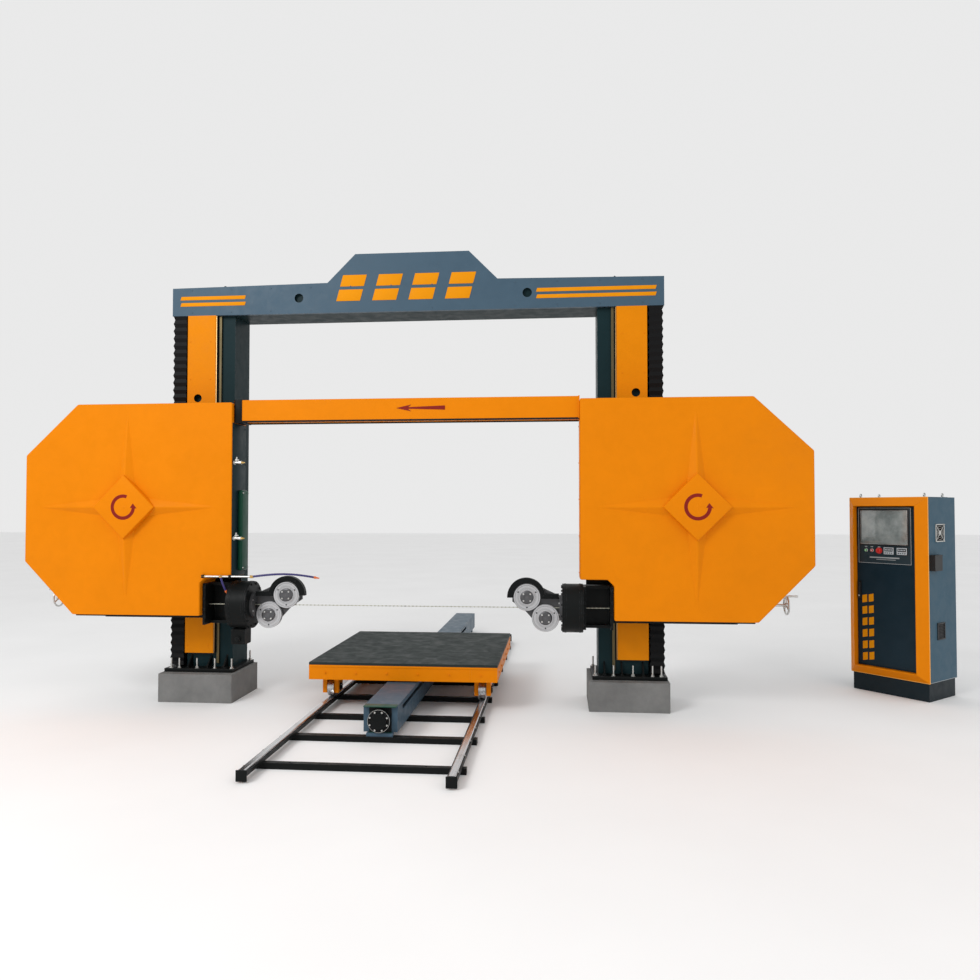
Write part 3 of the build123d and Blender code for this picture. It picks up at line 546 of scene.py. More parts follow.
def paintMaterial(name, colour, rough=0.36, spread=0.12, coat=0.0, rub=0.6, rubColour=(0.10, 0.10, 0.11),
                  peel=0.10, dust=0.06, drift=1.6, specular=0.16):
    material, tree, shader = newMaterial(name)
    spray = useGroup(tree, "mottle", {"Drift Scale": drift})
    edge = useGroup(tree, "edge", {"Amount": rub})
    lying = useGroup(tree, "dust", {"Amount": dust})
    tone = rangeNode(tree, spray.outputs["Tone"], 0.3, 0.7)
    body = mixColour(tree, tone, shade(colour, 1 - spread), shade(colour, 1 + spread))
    rubbed = mixColour(tree, edge.outputs["Edge"], body, (*rubColour, 1))
    dusty = mixColour(tree, lying.outputs["Dust"], rubbed, dustColour)
    tree.links.new(dusty, shader.inputs["Base Color"])
    gloss = rangeNode(tree, spray.outputs["Gloss"], 0.3, 0.7, rough * 0.8, rough * 1.25)
    tree.links.new(mathNode(tree, "MULTIPLY_ADD", lying.outputs["Dust"], 0.5, gloss, clamp=True),
                   shader.inputs["Roughness"])
    tree.links.new(mathNode(tree, "MULTIPLY", edge.outputs["Edge"], 0.6), shader.inputs["Metallic"])
    shader.inputs["Coat Weight"].default_value = coat
    shader.inputs["Coat Roughness"].default_value = 0.12
    shader.inputs["Specular IOR Level"].default_value = specular
    addBump(tree, shader, spray.outputs["Peel"], peel)
    return material


def castMaterial(name, colour, rough=0.6, metallic=0.3, grain=90.0, bump=0.35, spread=0.2, dust=0.3):
    material, tree, shader = newMaterial(name)
    surface = useGroup(tree, "grain", {"Scale": grain})
    edge = useGroup(tree, "edge", {"Amount": 0.6})
    lying = useGroup(tree, "dust", {"Amount": dust})
    tone = rangeNode(tree, surface.outputs["Tone"], 0.3, 0.7)
    body = mixColour(tree, tone, shade(colour, 1 - spread), shade(colour, 1 + spread))
    rubbed = mixColour(tree, edge.outputs["Edge"], body, shade(colour, 1.9))
    tree.links.new(mixColour(tree, lying.outputs["Dust"], rubbed, dustColour), shader.inputs["Base Color"])
    tree.links.new(rangeNode(tree, surface.outputs["Tone"], 0.3, 0.7, rough * 0.85, rough * 1.15),
                   shader.inputs["Roughness"])
    shader.inputs["Metallic"].default_value = metallic
    addBump(tree, shader, surface.outputs["Height"], bump, 0.002)
    return material


def steelMaterial(name, colour, rough=0.28, stretch=(2.0, 300.0, 300.0), spread=0.18, dust=0.15):
    material, tree, shader = newMaterial(name)
    scratches = useGroup(tree, "streak", {"Stretch": stretch})
    lying = useGroup(tree, "dust", {"Amount": dust})
    surface = useGroup(tree, "grain", {"Scale": 30.0})
    line = rangeNode(tree, scratches.outputs["Streak"], 0.3, 0.7)
    body = mixColour(tree, line, shade(colour, 1 - spread), shade(colour, 1 + spread))
    stained = mixColour(tree, rangeNode(tree, surface.outputs["Tone"], 0.55, 0.8, 0.0, 0.5), body,
                        (0.16, 0.13, 0.1, 1))
    tree.links.new(mixColour(tree, lying.outputs["Dust"], stained, dustColour), shader.inputs["Base Color"])
    tree.links.new(rangeNode(tree, scratches.outputs["Streak"], 0.3, 0.7, rough * 0.75, rough * 1.3),
                   shader.inputs["Roughness"])
    shader.inputs["Metallic"].default_value = 1.0
    addBump(tree, shader, scratches.outputs["Streak"], 0.15, 0.0005)
    return material


def turnedMaterial(name, colour, rough=0.3):
    material, tree, shader = newMaterial(name)
    marks = useGroup(tree, "turning")
    lying = useGroup(tree, "dust", {"Amount": 0.12})
    band = rangeNode(tree, marks.outputs["Band"], 0.3, 0.7)
    body = mixColour(tree, band, shade(colour, 0.78), shade(colour, 1.15))
    tree.links.new(mixColour(tree, lying.outputs["Dust"], body, dustColour), shader.inputs["Base Color"])
    tree.links.new(rangeNode(tree, marks.outputs["Mark"], 0.3, 0.7, rough * 0.7, rough * 1.35),
                   shader.inputs["Roughness"])
    shader.inputs["Metallic"].default_value = 1.0
    addBump(tree, shader, marks.outputs["Mark"], 0.25, 0.0006)
    return material


def plasticMaterial(name, colour, rough=0.42, spread=0.12, bump=0.12, dust=0.05, coat=0.0, specular=0.35):
    material, tree, shader = newMaterial(name)
    surface = useGroup(tree, "grain", {"Scale": 420.0, "Pit Scale": 300.0})
    edge = useGroup(tree, "edge", {"Amount": 0.35, "Radius": 0.002})
    lying = useGroup(tree, "dust", {"Amount": dust})
    tone = rangeNode(tree, surface.outputs["Tone"], 0.3, 0.7)
    body = mixColour(tree, tone, shade(colour, 1 - spread), shade(colour, 1 + spread))
    worn = mixColour(tree, edge.outputs["Edge"], body, shade([c + 0.03 for c in colour], 1.5))
    tree.links.new(mixColour(tree, lying.outputs["Dust"], worn, dustColour), shader.inputs["Base Color"])
    tree.links.new(rangeNode(tree, surface.outputs["Tone"], 0.3, 0.7, rough * 0.85, rough * 1.2),
                   shader.inputs["Roughness"])
    shader.inputs["Coat Weight"].default_value = coat
    shader.inputs["Specular IOR Level"].default_value = specular
    addBump(tree, shader, surface.outputs["Height"], bump, 0.0006)
    return material


def glassyMaterial(name, colour, paintedSheen):
    # dark display glass with a slow grey sheen painted into its colour as a reflection
    material, tree, shader = newMaterial(name)
    surface = useGroup(tree, "grain", {"Scale": 4.0})
    tone = rangeNode(tree, surface.outputs["Tone"], 0.35, 0.65)
    tree.links.new(mixColour(tree, tone, (*colour, 1), (*paintedSheen, 1)), shader.inputs["Base Color"])
    tree.links.new(rangeNode(tree, surface.outputs["Tone"], 0.3, 0.7, 0.05, 0.12),
                   shader.inputs["Roughness"])
    shader.inputs["Coat Weight"].default_value = 1.0
    shader.inputs["Coat Roughness"].default_value = 0.03
    return material


orange = (0.72, 0.205, 0.001)
paints = {
    "orange_paint": paintMaterial("orange enamel", orange, spread=0.05, rough=0.42, dust=0.03, rub=0.4,
                                  specular=0.06, coat=0.0, peel=0.06,
                                  rubColour=(0.45, 0.12, 0.01)),
    "teal_paint": paintMaterial("dark teal enamel", (0.009, 0.024, 0.028), dust=0.02, specular=0.05),
    "beam_paint": paintMaterial("blue grey enamel", (0.056, 0.098, 0.138), spread=0.06, dust=0.02,
                                specular=0.1),
    "black_paint": paintMaterial("black enamel", (0.0055, 0.0065, 0.0065), rough=0.42, dust=0.03,
                                 specular=0.1),
    "green_paint": paintMaterial("dark green enamel", (0.006, 0.058, 0.032)),
    "table_paint": paintMaterial("table enamel", (0.025, 0.033, 0.032), rough=0.5, spread=0.12, rub=0.6,
                                 dust=0.015,
                                 specular=0.05),
    "cabinet_paint": paintMaterial("cabinet powder coat", (0.043, 0.096, 0.138), rough=0.42, peel=0.2,
                                   spread=0.06,
                                   dust=0.03),
    "door_paint": paintMaterial("door powder coat", (0.0075, 0.020, 0.030), rough=0.36, peel=0.2,
                                spread=0.1, dust=0.03),
    "grey_casting": castMaterial("grey painted casting", (0.22, 0.23, 0.24)),
    "machined_steel": steelMaterial("machined steel", (0.52, 0.52, 0.53), stretch=(120.0, 120.0, 4.0)),
    "ground_steel": steelMaterial("ground steel", (0.62, 0.62, 0.63), rough=0.22,
                                  stretch=(240.0, 1.5, 240.0)),
    "bronze": steelMaterial("bronze", (0.46, 0.27, 0.10), rough=0.34),
    "diamond_wire": castMaterial("diamond beads", (0.40, 0.40, 0.33), rough=0.45, metallic=0.6, grain=900.0,
                                 dust=0.1),
    "concrete": castMaterial("cast concrete", (0.155, 0.155, 0.152), rough=0.9, metallic=0.0, grain=60.0,
                             bump=0.7,
                             spread=0.22, dust=0.35),
    "bellows_rubber": plasticMaterial("bellows rubber", (0.0045, 0.0045, 0.005), rough=0.5, dust=0.02,
                                      specular=0.12),
    "belt_rubber": plasticMaterial("belt rubber", (0.012, 0.012, 0.012), rough=0.65, dust=0.2),
    "hose_plastic": plasticMaterial("violet link hose", (0.035, 0.028, 0.15), rough=0.35),
    "black_plastic": plasticMaterial("black plastic", (0.012, 0.012, 0.013), rough=0.4),
    "red_plastic": plasticMaterial("red plastic", (0.55, 0.012, 0.008), rough=0.28, coat=0.4),
    "green_plastic": plasticMaterial("green plastic", (0.03, 0.36, 0.08), rough=0.28, coat=0.4),
}
finishes = {
    "turned": turnedMaterial("turned steel", (0.50, 0.50, 0.51)),
    "turnedDark": turnedMaterial("turned hub cap", (0.12, 0.12, 0.125), rough=0.4),
    "zinc": steelMaterial("zinc plate", (0.58, 0.58, 0.56), rough=0.35, stretch=(90.0, 90.0, 90.0)),
    "brass": steelMaterial("brass", (0.60, 0.40, 0.14), rough=0.3, stretch=(90.0, 90.0, 90.0)),
    "darkRed": paintMaterial("dark red marking", (0.215, 0.010, 0.006), rough=0.4, rub=0.2, dust=0.05),
    "marking": paintMaterial("orange marking", (0.72, 0.26, 0.004), rough=0.5, spread=0.05, rub=0.1,
                             dust=0.0,
                             specular=0.04),
    "railBronze": steelMaterial("bronze strip", (0.13, 0.105, 0.055), rough=0.5,
                                stretch=(120.0, 120.0, 3.0)),
    "armGrey": castMaterial("arm casting", (0.085, 0.085, 0.088), rough=0.5, metallic=0.5, grain=70.0,
                            dust=0.05),
    "white": plasticMaterial("off white plastic", (0.55, 0.56, 0.54), rough=0.4),
    "lightGrey": plasticMaterial("light grey plastic", (0.34, 0.36, 0.37), rough=0.45),
    "nozzle": plasticMaterial("orange nozzle plastic", (0.75, 0.16, 0.03), rough=0.32),
    "screen": glassyMaterial("screen glass", (0.10, 0.125, 0.125), (0.34, 0.37, 0.36)),
    "dial": plasticMaterial("meter face", (0.48, 0.52, 0.55), rough=0.3, coat=0.6),
    # near black: painted shade in the wheel holes and under the tie beam, and the own colour of the meter windows
    # and lock plate
    "shadow": plasticMaterial("black and painted shade", (0.004, 0.004, 0.004), rough=0.8, dust=0.0),
    "baseCoat": paintMaterial("cabinet base coat", (0.006, 0.013, 0.018), rough=0.4, peel=0.3, spread=0.1),
    # pale orange used as a painted highlight along the cabinet frame's outer edges
    "paintedHighlightEdge": paintMaterial("painted highlight orange", (0.85, 0.42, 0.09), rough=0.4, spread=0.05, rub=0.1,
                              dust=0.0),
    "steelDoorLight": paintMaterial("instrument panel coat", (0.020, 0.034, 0.042), rough=0.32, peel=0.25,
                                    spread=0.08),
    "coverShade": paintMaterial("orange column enamel", (0.69, 0.215, 0.001), spread=0.05, rough=0.42,
                                dust=0.04,
                                rub=0.4, specular=0.06, coat=0.0, peel=0.06,
                                rubColour=(0.45, 0.12, 0.01)),
}
print("materials built:", len(paints) + len(finishes))


def dressFrame():
    # every CAD node takes the finish of its slot in the record
    for part in frame["record"]["subparts"]:
        mesh = nodes[part["node"]].data
        mesh.materials.clear()
        mesh.materials.append(paints[part["material_slot"]])


dressFrame()
finishOf = {"column_covers": "coverShade", "lift_rails": "railBronze", "head_arm_left": "armGrey",
            "head_arm_right": "armGrey"}
for nodeName, finish in finishOf.items():
    nodes[nodeName].data.materials[0] = finishes[finish]
print("CAD nodes painted")


# Fasteners

def addFasteners(name, body, spots, look, material=None, place=None):
    # spots are (position, facing) pairs
    mesh = bpy.data.meshes.new(name)
    turn = place or Matrix.Identity(4)
    mesh.from_pydata([turn @ Vector(spot) for spot, way in spots], [], [])
    facing = mesh.attributes.new("facing", "FLOAT_VECTOR", "POINT")
    facing.data.foreach_set("vector", [c for spot, way in spots for c in turn.to_3x3() @ Vector(way)])
    values = {"Material": material or finishes["zinc"]}
    values.update(look)
    made = runTree(looseObject(name, mesh), trees["fastener"], values)
    return showMesh(made, name, None, body)


def ringSpots(centre, radius, count, start, facing):
    # evenly round a centre, square to the way they face, from an angle in degrees
    axis = max(range(3), key=lambda k: abs(facing[k]))
    first, second = [k for k in range(3) if k != axis]
    spots = []
    for k in range(count):
        angle = math.radians(start + 360 * k / count)
        spot = Vector(centre)
        spot[first] += radius * math.cos(angle)
        spot[second] += radius * math.sin(angle)
        spots.append((spot, facing))
    return spots


hexBolt = {"Head Radius": 0.011, "Head Height": 0.009, "Head Sides": 6, "Washer Radius": 0.014,
           "Washer Height": 0.0025, "Stud Radius": 0.004, "Stud Length": 0.009}
capScrew = {"Head Radius": 0.008, "Head Height": 0.007, "Head Sides": 18, "Washer Radius": 0.0085,
            "Washer Height": 0.001, "Stud Radius": 0.0035, "Stud Length": 0.006}
panScrew = {"Head Radius": 0.007, "Head Height": 0.003, "Head Sides": 16, "Washer Radius": 0.0075,
            "Washer Height": 0.001, "Stud Radius": 0.002, "Stud Length": 0.003}
anchorNut = {"Head Radius": 0.018, "Head Height": 0.016, "Head Sides": 6, "Washer Radius": 0.026,
             "Washer Height": 0.004, "Stud Radius": 0.009, "Stud Length": 0.110}


# Guards

guardLook = {"topSlope": (0.57, 0.54), "lowSlope": (0.54, 0.555), "notch": (0.335, 0.405),
             "notchSlope": 0.065,
             "depthBack": 0.190, "front": -0.170, "wall": 0.005, "fold": 0.014,
             "starReach": 1.01, "starWaist": 0.15, "starHeight": 0.080,
             "plateReach": 0.335, "plateHeight": 0.062, "plateBevel": 0.014,
             "arrowRadius": 0.115, "arrowWidth": 0.034, "arrowSweep": 285,
             "notchWall": 2.135, "innerWall": 1.8, "screwWall": 3.68}
wireLook = {"pitch": 0.040, "beadRadius": 0.0055, "beadLength": 0.015, "coreRadius": 0.0032, "arcSteps": 64,
            "wheelRadius": 1.025, "straightSteps": 60}


def guardOutline(side):
    low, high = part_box("guard_left")
    inner, outer, bottom, top = -high.x, -low.x, low.z, high.z
    look = guardLook
    points = [(inner, top), (outer - look["topSlope"][0], top), (outer, top - look["topSlope"][1]),
              (outer, bottom + look["lowSlope"][1]), (outer - look["lowSlope"][0], bottom),
              (inner + look["notch"][0], bottom),
              (inner + look["notch"][0], bottom + look["notch"][1] - look["notchSlope"]),
              (inner + look["notch"][0] - look["notchSlope"], bottom + look["notch"][1]),
              (inner, bottom + look["notch"][1])]
    return [(side * x, z) for x, z in points]


def cutRound(piece, centre, direction, radius, length):
    bm = bmesh.new()
    half = length / 2
    addTurned(bm, [(-half, 0), (-half, radius), (half, radius), (half, 0)], centre, direction, 32)
    bmesh.ops.recalc_face_normals(bm, faces=bm.faces)
    mesh = bpy.data.meshes.new("cutter")
    bm.to_mesh(mesh)
    bm.free()
    cutter = looseObject("cutter", mesh)
    cutter.hide_render = True
    cut = piece.modifiers.new("cut", "BOOLEAN")
    cut.operation = "DIFFERENCE"
    cut.solver = "EXACT"
    cut.object = cutter
    return cutter


def buildGuard(name, side):
    look = guardLook
    outline = guardOutline(side)
    hub = jointSpot(f"flywheel_{name}_spin")
    front, back = look["front"], look["depthBack"]
    star = []
    for k in range(8):
        reach = look["starReach"] if k % 2 == 0 else look["starWaist"]
        angle = math.radians(45 * k)
        star.append(aroundHub(hub, reach, angle))
    rings = [[Vector((x, 0, z)) for x, z in outline], [Vector((x, 0, z)) for x, z in star]]
    flat = [Vector((v.x, v.z, 0)) for ring in rings for v in ring]
    bm = bmesh.new()
    verts = [bm.verts.new((v.x, front, v.y)) for v in flat]
    for triangle in tessellate_polygon([[Vector((v.x, v.z, 0)) for v in ring] for ring in rings]):
        bm.faces.new([verts[i] for i in triangle])
    apex = bm.verts.new((hub.x, front - look["starHeight"], hub.z))
    starVerts = verts[len(outline):]
    for k in range(8):
        bm.faces.new((starVerts[k], starVerts[(k + 1) % 8], apex))
    edgeVerts = verts[:len(outline)]
    far = [bm.verts.new((v.co.x, back, v.co.z)) for v in edgeVerts]
    for k in range(len(far)):
        n = (k + 1) % len(far)
        bm.faces.new((edgeVerts[k], edgeVerts[n], far[n], far[k]))
    bmesh.ops.recalc_face_normals(bm, faces=bm.faces)
    mesh = bpy.data.meshes.new("guardShell")
    bm.to_mesh(mesh)
    bm.free()
    if mesh.polygons[-1].normal.z < 0 < mesh.polygons[-1].center.z - hub.z:
        mesh.flip_normals()
    shell = looseObject("guardShell", mesh)
    fold = shell.modifiers.new("fold", "BEVEL")
    fold.width = look["fold"]
    fold.segments = 4
    fold.limit_method = "ANGLE"
    fold.angle_limit = math.radians(42)
    wall = shell.modifiers.new("wall", "SOLIDIFY")
    wall.thickness = look["wall"]
    wall.offset = -1
    wall.use_even_offset = True
    screw = jointSpot(f"handwheel_{name}_turn")
    wireLow, wireHigh = hub.z - wireLook["wheelRadius"], hub.z + wireLook["wheelRadius"]
    cutters = []
    for x, y, z, radius, length in ((look["notchWall"], 0, wireLow, 0.032, 0.08),
                                    (look["innerWall"], 0, wireHigh, 0.045, 0.08),
                                    (look["screwWall"], screw.y, screw.z, 0.024, 0.24)):
        cutters.append(cutRound(shell, (side * x, y, z), (1, 0, 0), radius, length))
    made = bakeModifiers(shell)
    for cutter in cutters:
        bpy.data.objects.remove(cutter)
    piece = showMesh(made, f"guard_shell_{name}", paints["orange_paint"], "carriage",
                     sharp=12)
    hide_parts(f"guard_{name}")
    addEmblem(name, hub, front)
    addGuardTrim(name, side, outline)


def aroundHub(hub, radius, angle):
    return hub.x + radius * math.cos(angle), hub.z + radius * math.sin(angle)


def addEmblem(name, hub, front):
    look = guardLook
    reach, height = look["plateReach"], look["plateHeight"]
    bm = bmesh.new()
    corners = [(hub.x + reach, hub.z), (hub.x, hub.z + reach), (hub.x - reach, hub.z),
               (hub.x, hub.z - reach)]
    addPlate(bm, corners, front - height - 0.010, front - 0.002, bevel=look["plateBevel"], segments=3)
    coated(bm, f"guard_diamond_{name}", "carriage", "orange_paint", sharp=25)
    bm = bmesh.new()
    face = front - height - 0.0115
    inner, outer = look["arrowRadius"] - look["arrowWidth"] / 2, look["arrowRadius"] + look["arrowWidth"] / 2
    steps = 40
    sweep = math.radians(look["arrowSweep"])
    angles = [math.radians(70) + sweep * k / steps for k in range(steps + 1)]
    outerRow = [aroundHub(hub, outer, a) for a in angles]
    innerRow = [aroundHub(hub, inner, a) for a in angles]
    end, barb = angles[-1], look["arrowWidth"] * 1.05
    headPoints = [aroundHub(hub, look["arrowRadius"] + barb, end),
                  aroundHub(hub, look["arrowRadius"], end + 0.42),
                  aroundHub(hub, look["arrowRadius"] - barb, end)]
    addStrip(bm, outerRow, innerRow, face, face + 0.0025)
    addPlate(bm, headPoints, face, face + 0.0025)
    settle(bm, f"turning_mark_{name}", finishes["darkRed"], "carriage", sharp=30)


def addStrip(bm, outerRow, innerRow, front, back):
    # a flat band between two rows of points, with its own thickness
    for k in range(len(outerRow) - 1):
        quad = [outerRow[k], outerRow[k + 1], innerRow[k + 1], innerRow[k]]
        near = [bm.verts.new((x, front, z)) for x, z in quad]
        far = [bm.verts.new((x, back, z)) for x, z in quad]
        bm.faces.new(near)
        bm.faces.new(list(reversed(far)))
        bm.faces.new((near[1], near[0], far[0], far[1]))
        bm.faces.new((near[3], near[2], far[2], far[3]))
        if k == 0:
            bm.faces.new((near[0], near[3], far[3], far[0]))
        if k == len(outerRow) - 2:
            bm.faces.new((near[2], near[1], far[1], far[2]))


trimLook = {"latchSize": (0.020, 0.050, 0.110), "latchRows": (1.75, 2.35), "screwStep": 0.28,
            "screwBack": 0.165}


def addGuardTrim(name, side, outline):
    # screws round the rear rim and two toggle latches on the outer wall
    spots = []
    count = len(outline)
    for k in range(count):
        a, b = Vector((*outline[k], 0)), Vector((*outline[(k + 1) % count], 0))
        run = b - a
        outward = Vector((run.y, -run.x, 0)).normalized() * side * -1
        steps = int(run.length / trimLook["screwStep"])
        for i in range(1, steps):
            at = a + run * i / steps
            spots.append(((at.x, trimLook["screwBack"], at.y), (-outward.x, 0, -outward.y)))
    addFasteners(f"guard_screws_{name}", "carriage", spots, panScrew)
    edge = max(abs(x) for x, z in outline)
    bm = bmesh.new()
    deep, wide, tall = trimLook["latchSize"]
    for z in trimLook["latchRows"]:
        ends = sorted((side * edge, side * (edge + deep)))
        addBlock(bm, (ends[0], 0.06, z - tall / 2), (ends[1], 0.06 + wide, z + tall / 2), 0.004, 3)
        lever = sorted((side * (edge + deep), side * (edge + deep + 0.008)))
        addBlock(bm, (lever[0], 0.068, z - tall / 2 + 0.012), (lever[1], 0.052 + wide, z + tall / 4), 0.002)
        addTurned(bm, [(0, 0), (0, 0.007), (wide + 0.012, 0.007), (wide + 0.012, 0)],
                  (side * (edge + deep * 0.6), 0.054, z + tall / 2 - 0.014), (0, 1, 0), 16)
    settle(bm, f"guard_latches_{name}", finishes["zinc"], "carriage")


for sideName, sign in sides.items():
    buildGuard(sideName, sign)
print("guards built")


# Wire: coated rope with diamond beads, one half round the flywheel of each tension slide

def buildWire(name, side):
    look = wireLook
    hub, radius, steps = jointSpot(f"flywheel_{name}_spin"), look["wheelRadius"], look["straightSteps"]
    points = [(hub.x * k / steps, 0, hub.z - radius) for k in range(steps)]
    for k in range(look["arcSteps"] + 1):
        angle = -math.pi / 2 + math.pi * k / look["arcSteps"]
        points.append((hub.x + side * radius * math.cos(angle), 0, hub.z + radius * math.sin(angle)))
    points += [(hub.x * (1 - k / steps), 0, hub.z + radius) for k in range(1, steps + 1)]
    made = runTree(polyPath("wirePath", points), trees["chain"], {
        "Pitch": look["pitch"], "Link Radius": look["beadRadius"], "Link Length": look["beadLength"],
        "Core Radius": look["coreRadius"], "Link Sides": 10, "Material": paints["diamond_wire"]})
    piece = showMesh(made, f"diamond_wire_{name}", None, None, sharp=40)
    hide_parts(f"wire_{name}")
    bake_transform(piece)


for sideName, sign in sides.items():
    buildWire(sideName, sign)
print("wire built")


# Bellows

bellowsLook = {"pitch": 0.083, "foldDepth": 0.016, "sheet": 0.0022}


def buildBellows(nodeName):
    low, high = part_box(nodeName)
    outer, inner = high.x, 2.532
    front, back = low.y, high.y
    plan = [(inner, back), (inner, front), (outer, front), (outer, back)]
    meshes = []
    for side in sides.values():
        path = [(side * x, y, 0) for x, y in plan]
        if side < 0:
            path.reverse()
        meshes.append(runTree(polyPath("bellowsPlan", path), trees["bellows"], {
            "Low": low.z, "High": high.z, "Folds": round((high.z - low.z) / bellowsLook["pitch"]),
            "Fold Depth": -bellowsLook["foldDepth"], "Material": paints["bellows_rubber"]}))
    bm = bmesh.new()
    for mesh in meshes:
        bm.from_mesh(mesh)
    bmesh.ops.remove_doubles(bm, verts=bm.verts, dist=1e-5)
    bmesh.ops.recalc_face_normals(bm, faces=bm.faces)
    joined = bpy.data.meshes.new("bellows")
    bm.to_mesh(joined)
    bm.free()
    sheet = looseObject("bellows", joined)
    thick = sheet.modifiers.new("sheet", "SOLIDIFY")
    thick.thickness = bellowsLook["sheet"]
    thick.offset = 0
    piece = showMesh(bakeModifiers(sheet), f"folded_{nodeName}", paints["bellows_rubber"], None,
                     sharp=20)
    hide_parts(nodeName)
    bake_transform(piece)


buildBellows("bellows_upper")
buildBellows("bellows_lower")
print("bellows built")


# Guide wheels and handwheels

def markAxleDistance(piece, centre, axis):
    mesh = piece.data
    attribute = mesh.attributes.new("axleDistance", "FLOAT", "POINT")
    centre, axis = Vector(centre), Vector(axis).normalized()
    values = []
    for vert in mesh.vertices:
        arm = vert.co - centre
        values.append((arm - axis * arm.dot(axis)).length)
    attribute.data.foreach_set("value", values)


guideLook = {"rim": 0.138, "groove": 0.0990, "face": 0.020, "lip": 0.015, "web": 0.0165, "capRadius": 0.069,
             "capDepth": 0.024, "bore": 0.0205, "screwHole": 0.008, "screwRing": 0.104, "hubRing": 0.049,
             "segments": 96}


def buildGuideWheel(level, name):
    nodeName = f"guide_wheel_{level}_{name}"
    low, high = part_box(nodeName)
    centre = Vector(((low.x + high.x) / 2, 0, (low.z + high.z) / 2))
    look = guideLook
    face, rim = look["face"], look["rim"]
    profile = [(-face, look["bore"]), (-face, 0.080), (-look["web"], 0.084), (-look["web"], 0.120),
               (-face, 0.124),
               (-face, rim - 0.003), (-face + 0.003, rim), (-look["lip"] + 0.001, rim),
               (-0.0085, look["groove"] + 0.004),
               (-0.006, look["groove"]), (0.006, look["groove"]), (0.0085, look["groove"] + 0.004),
               (look["lip"] - 0.001, rim), (face - 0.003, rim), (face, rim - 0.003), (face, 0.124),
               (look["web"], 0.120), (look["web"], 0.084), (face, 0.080), (face, look["bore"])]
    bm = bmesh.new()
    addTurned(bm, profile, centre, (0, 1, 0), look["segments"], closed=True)
    wheel = settle(bm, f"turned_{nodeName}", finishes["turned"], nodeName, sharp=28)
    markAxleDistance(wheel, centre, (0, 1, 0))
    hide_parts(nodeName)
    bm = bmesh.new()
    depth, radius = look["capDepth"], look["capRadius"]
    addTurned(bm, [(0.0005, 0), (0.0005, radius), (-depth + 0.007, radius), (-depth + 0.001, radius - 0.008),
                   (-depth, radius - 0.014), (-depth, 0.030), (-depth + 0.004, 0.026), (-depth + 0.004, 0)],
              centre + Vector((0, -face, 0)), (0, 1, 0), 64)
    cap = settle(bm, f"hub_cap_{level}_{name}", finishes["turnedDark"], nodeName, sharp=28)
    markAxleDistance(cap, centre, (0, 1, 0))
    spots = ringSpots((centre.x, -face - depth, centre.z), look["hubRing"], 4, 45, (0, -1, 0))
    addFasteners(f"hub_screws_{level}_{name}", nodeName, spots, capScrew)
    # thin near black discs on the web: painted shade where the balance holes are
    bm = bmesh.new()
    holeFace = -look["web"] - 0.0006
    for at, way in ringSpots((centre.x, holeFace, centre.z), look["screwRing"], 3, 30, (0, 1, 0)):
        addTurned(bm, [(0, 0), (0, look["screwHole"]), (0.0005, look["screwHole"]), (0.0005, 0)], at, way,
                  20)
    settle(bm, f"balance_hole_shades_{level}_{name}", finishes["shadow"], nodeName)


handLook = {"radius": 0.090, "section": 0.0095, "hub": 0.024, "hubLength": 0.040, "spokes": 3,
            "gripLength": 0.115}


def buildHandwheel(name, side):
    nodeName = f"handwheel_{name}"
    look = handLook
    low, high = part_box(nodeName)
    centre = jointSpot(f"{nodeName}_turn")
    bm = bmesh.new()
    addTurned(bm, roundSection(look["radius"], look["section"], 14), centre, (side, 0, 0), 64, closed=True)
    half = look["hubLength"] / 2
    addTurned(bm,
              [(-half, 0), (-half, look["hub"] - 0.003), (-half + 0.003, look["hub"]),
               (half - 0.003, look["hub"]),
                   (half, look["hub"] - 0.003), (half, 0)], centre, (side, 0, 0), 32)
    for k in range(look["spokes"]):
        angle = 2 * math.pi * k / look["spokes"] + math.pi / 2
        way = Vector((0, math.cos(angle), math.sin(angle)))
        addTurned(bm, [(0.018, 0), (0.018, 0.0095), (0.05, 0.007), (0.088, 0.0085), (0.088, 0)], centre,
                  way, 16)
    inner = abs(low.x if side > 0 else high.x)
    reach = abs(centre.x) - inner - 0.02
    addTurned(bm, [(0, 0), (0, 0.014), (reach, 0.014), (reach, 0)], (side * inner, centre.y, centre.z),
              (side, 0, 0), 24)
    wheel = settle(bm, f"cranked_{nodeName}", finishes["zinc"], nodeName, sharp=40)
    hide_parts(nodeName)
    bm = bmesh.new()
    grip = look["gripLength"]
    addTurned(bm, [(0, 0), (0, 0.006), (0.012, 0.006), (0.012, 0.009), (0.030, 0.0115), (grip * 0.6, 0.0095),
                   (grip - 0.02, 0.0125), (grip - 0.006, 0.011), (grip, 0.005), (grip, 0)],
              centre + Vector((0, 0, look["radius"])), (side, 0, 0), 28)
    settle(bm, f"crank_grip_{name}", finishes["zinc"], nodeName, sharp=40)


for sideName, sign in sides.items():
    for level in ("upper", "lower"):
        buildGuideWheel(level, sideName)
    buildHandwheel(sideName, sign)
print("wheels built")


# Tie beam and top beam

duct = dict(zip(("low", "high"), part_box("wire_duct")))
beamLook = {"cellHeight": 0.285, "cellWidth": 0.265, "cellLean": 0.075, "cellGap": 0.135, "cellCount": 4,
            "cellShift": -0.065, "cellLift": 0.125,
            "bandWidths": (0.74, 1.26), "bandHeight": 0.040, "bandGap": 0.030, "raise": 0.003,
            "boltStep": 0.45}
arrowLook = {"tip": -0.075, "head": 0.155, "tail": 0.43, "halfHead": 0.034, "halfShaft": 0.008,
             "halfTail": 0.021,
             "notch": 0.035, "middle": 0.008}


def slantedCell(x, z, width, height, lean):
    return [(x, z), (x + width, z), (x + width + lean, z + height), (x + lean, z + height)]


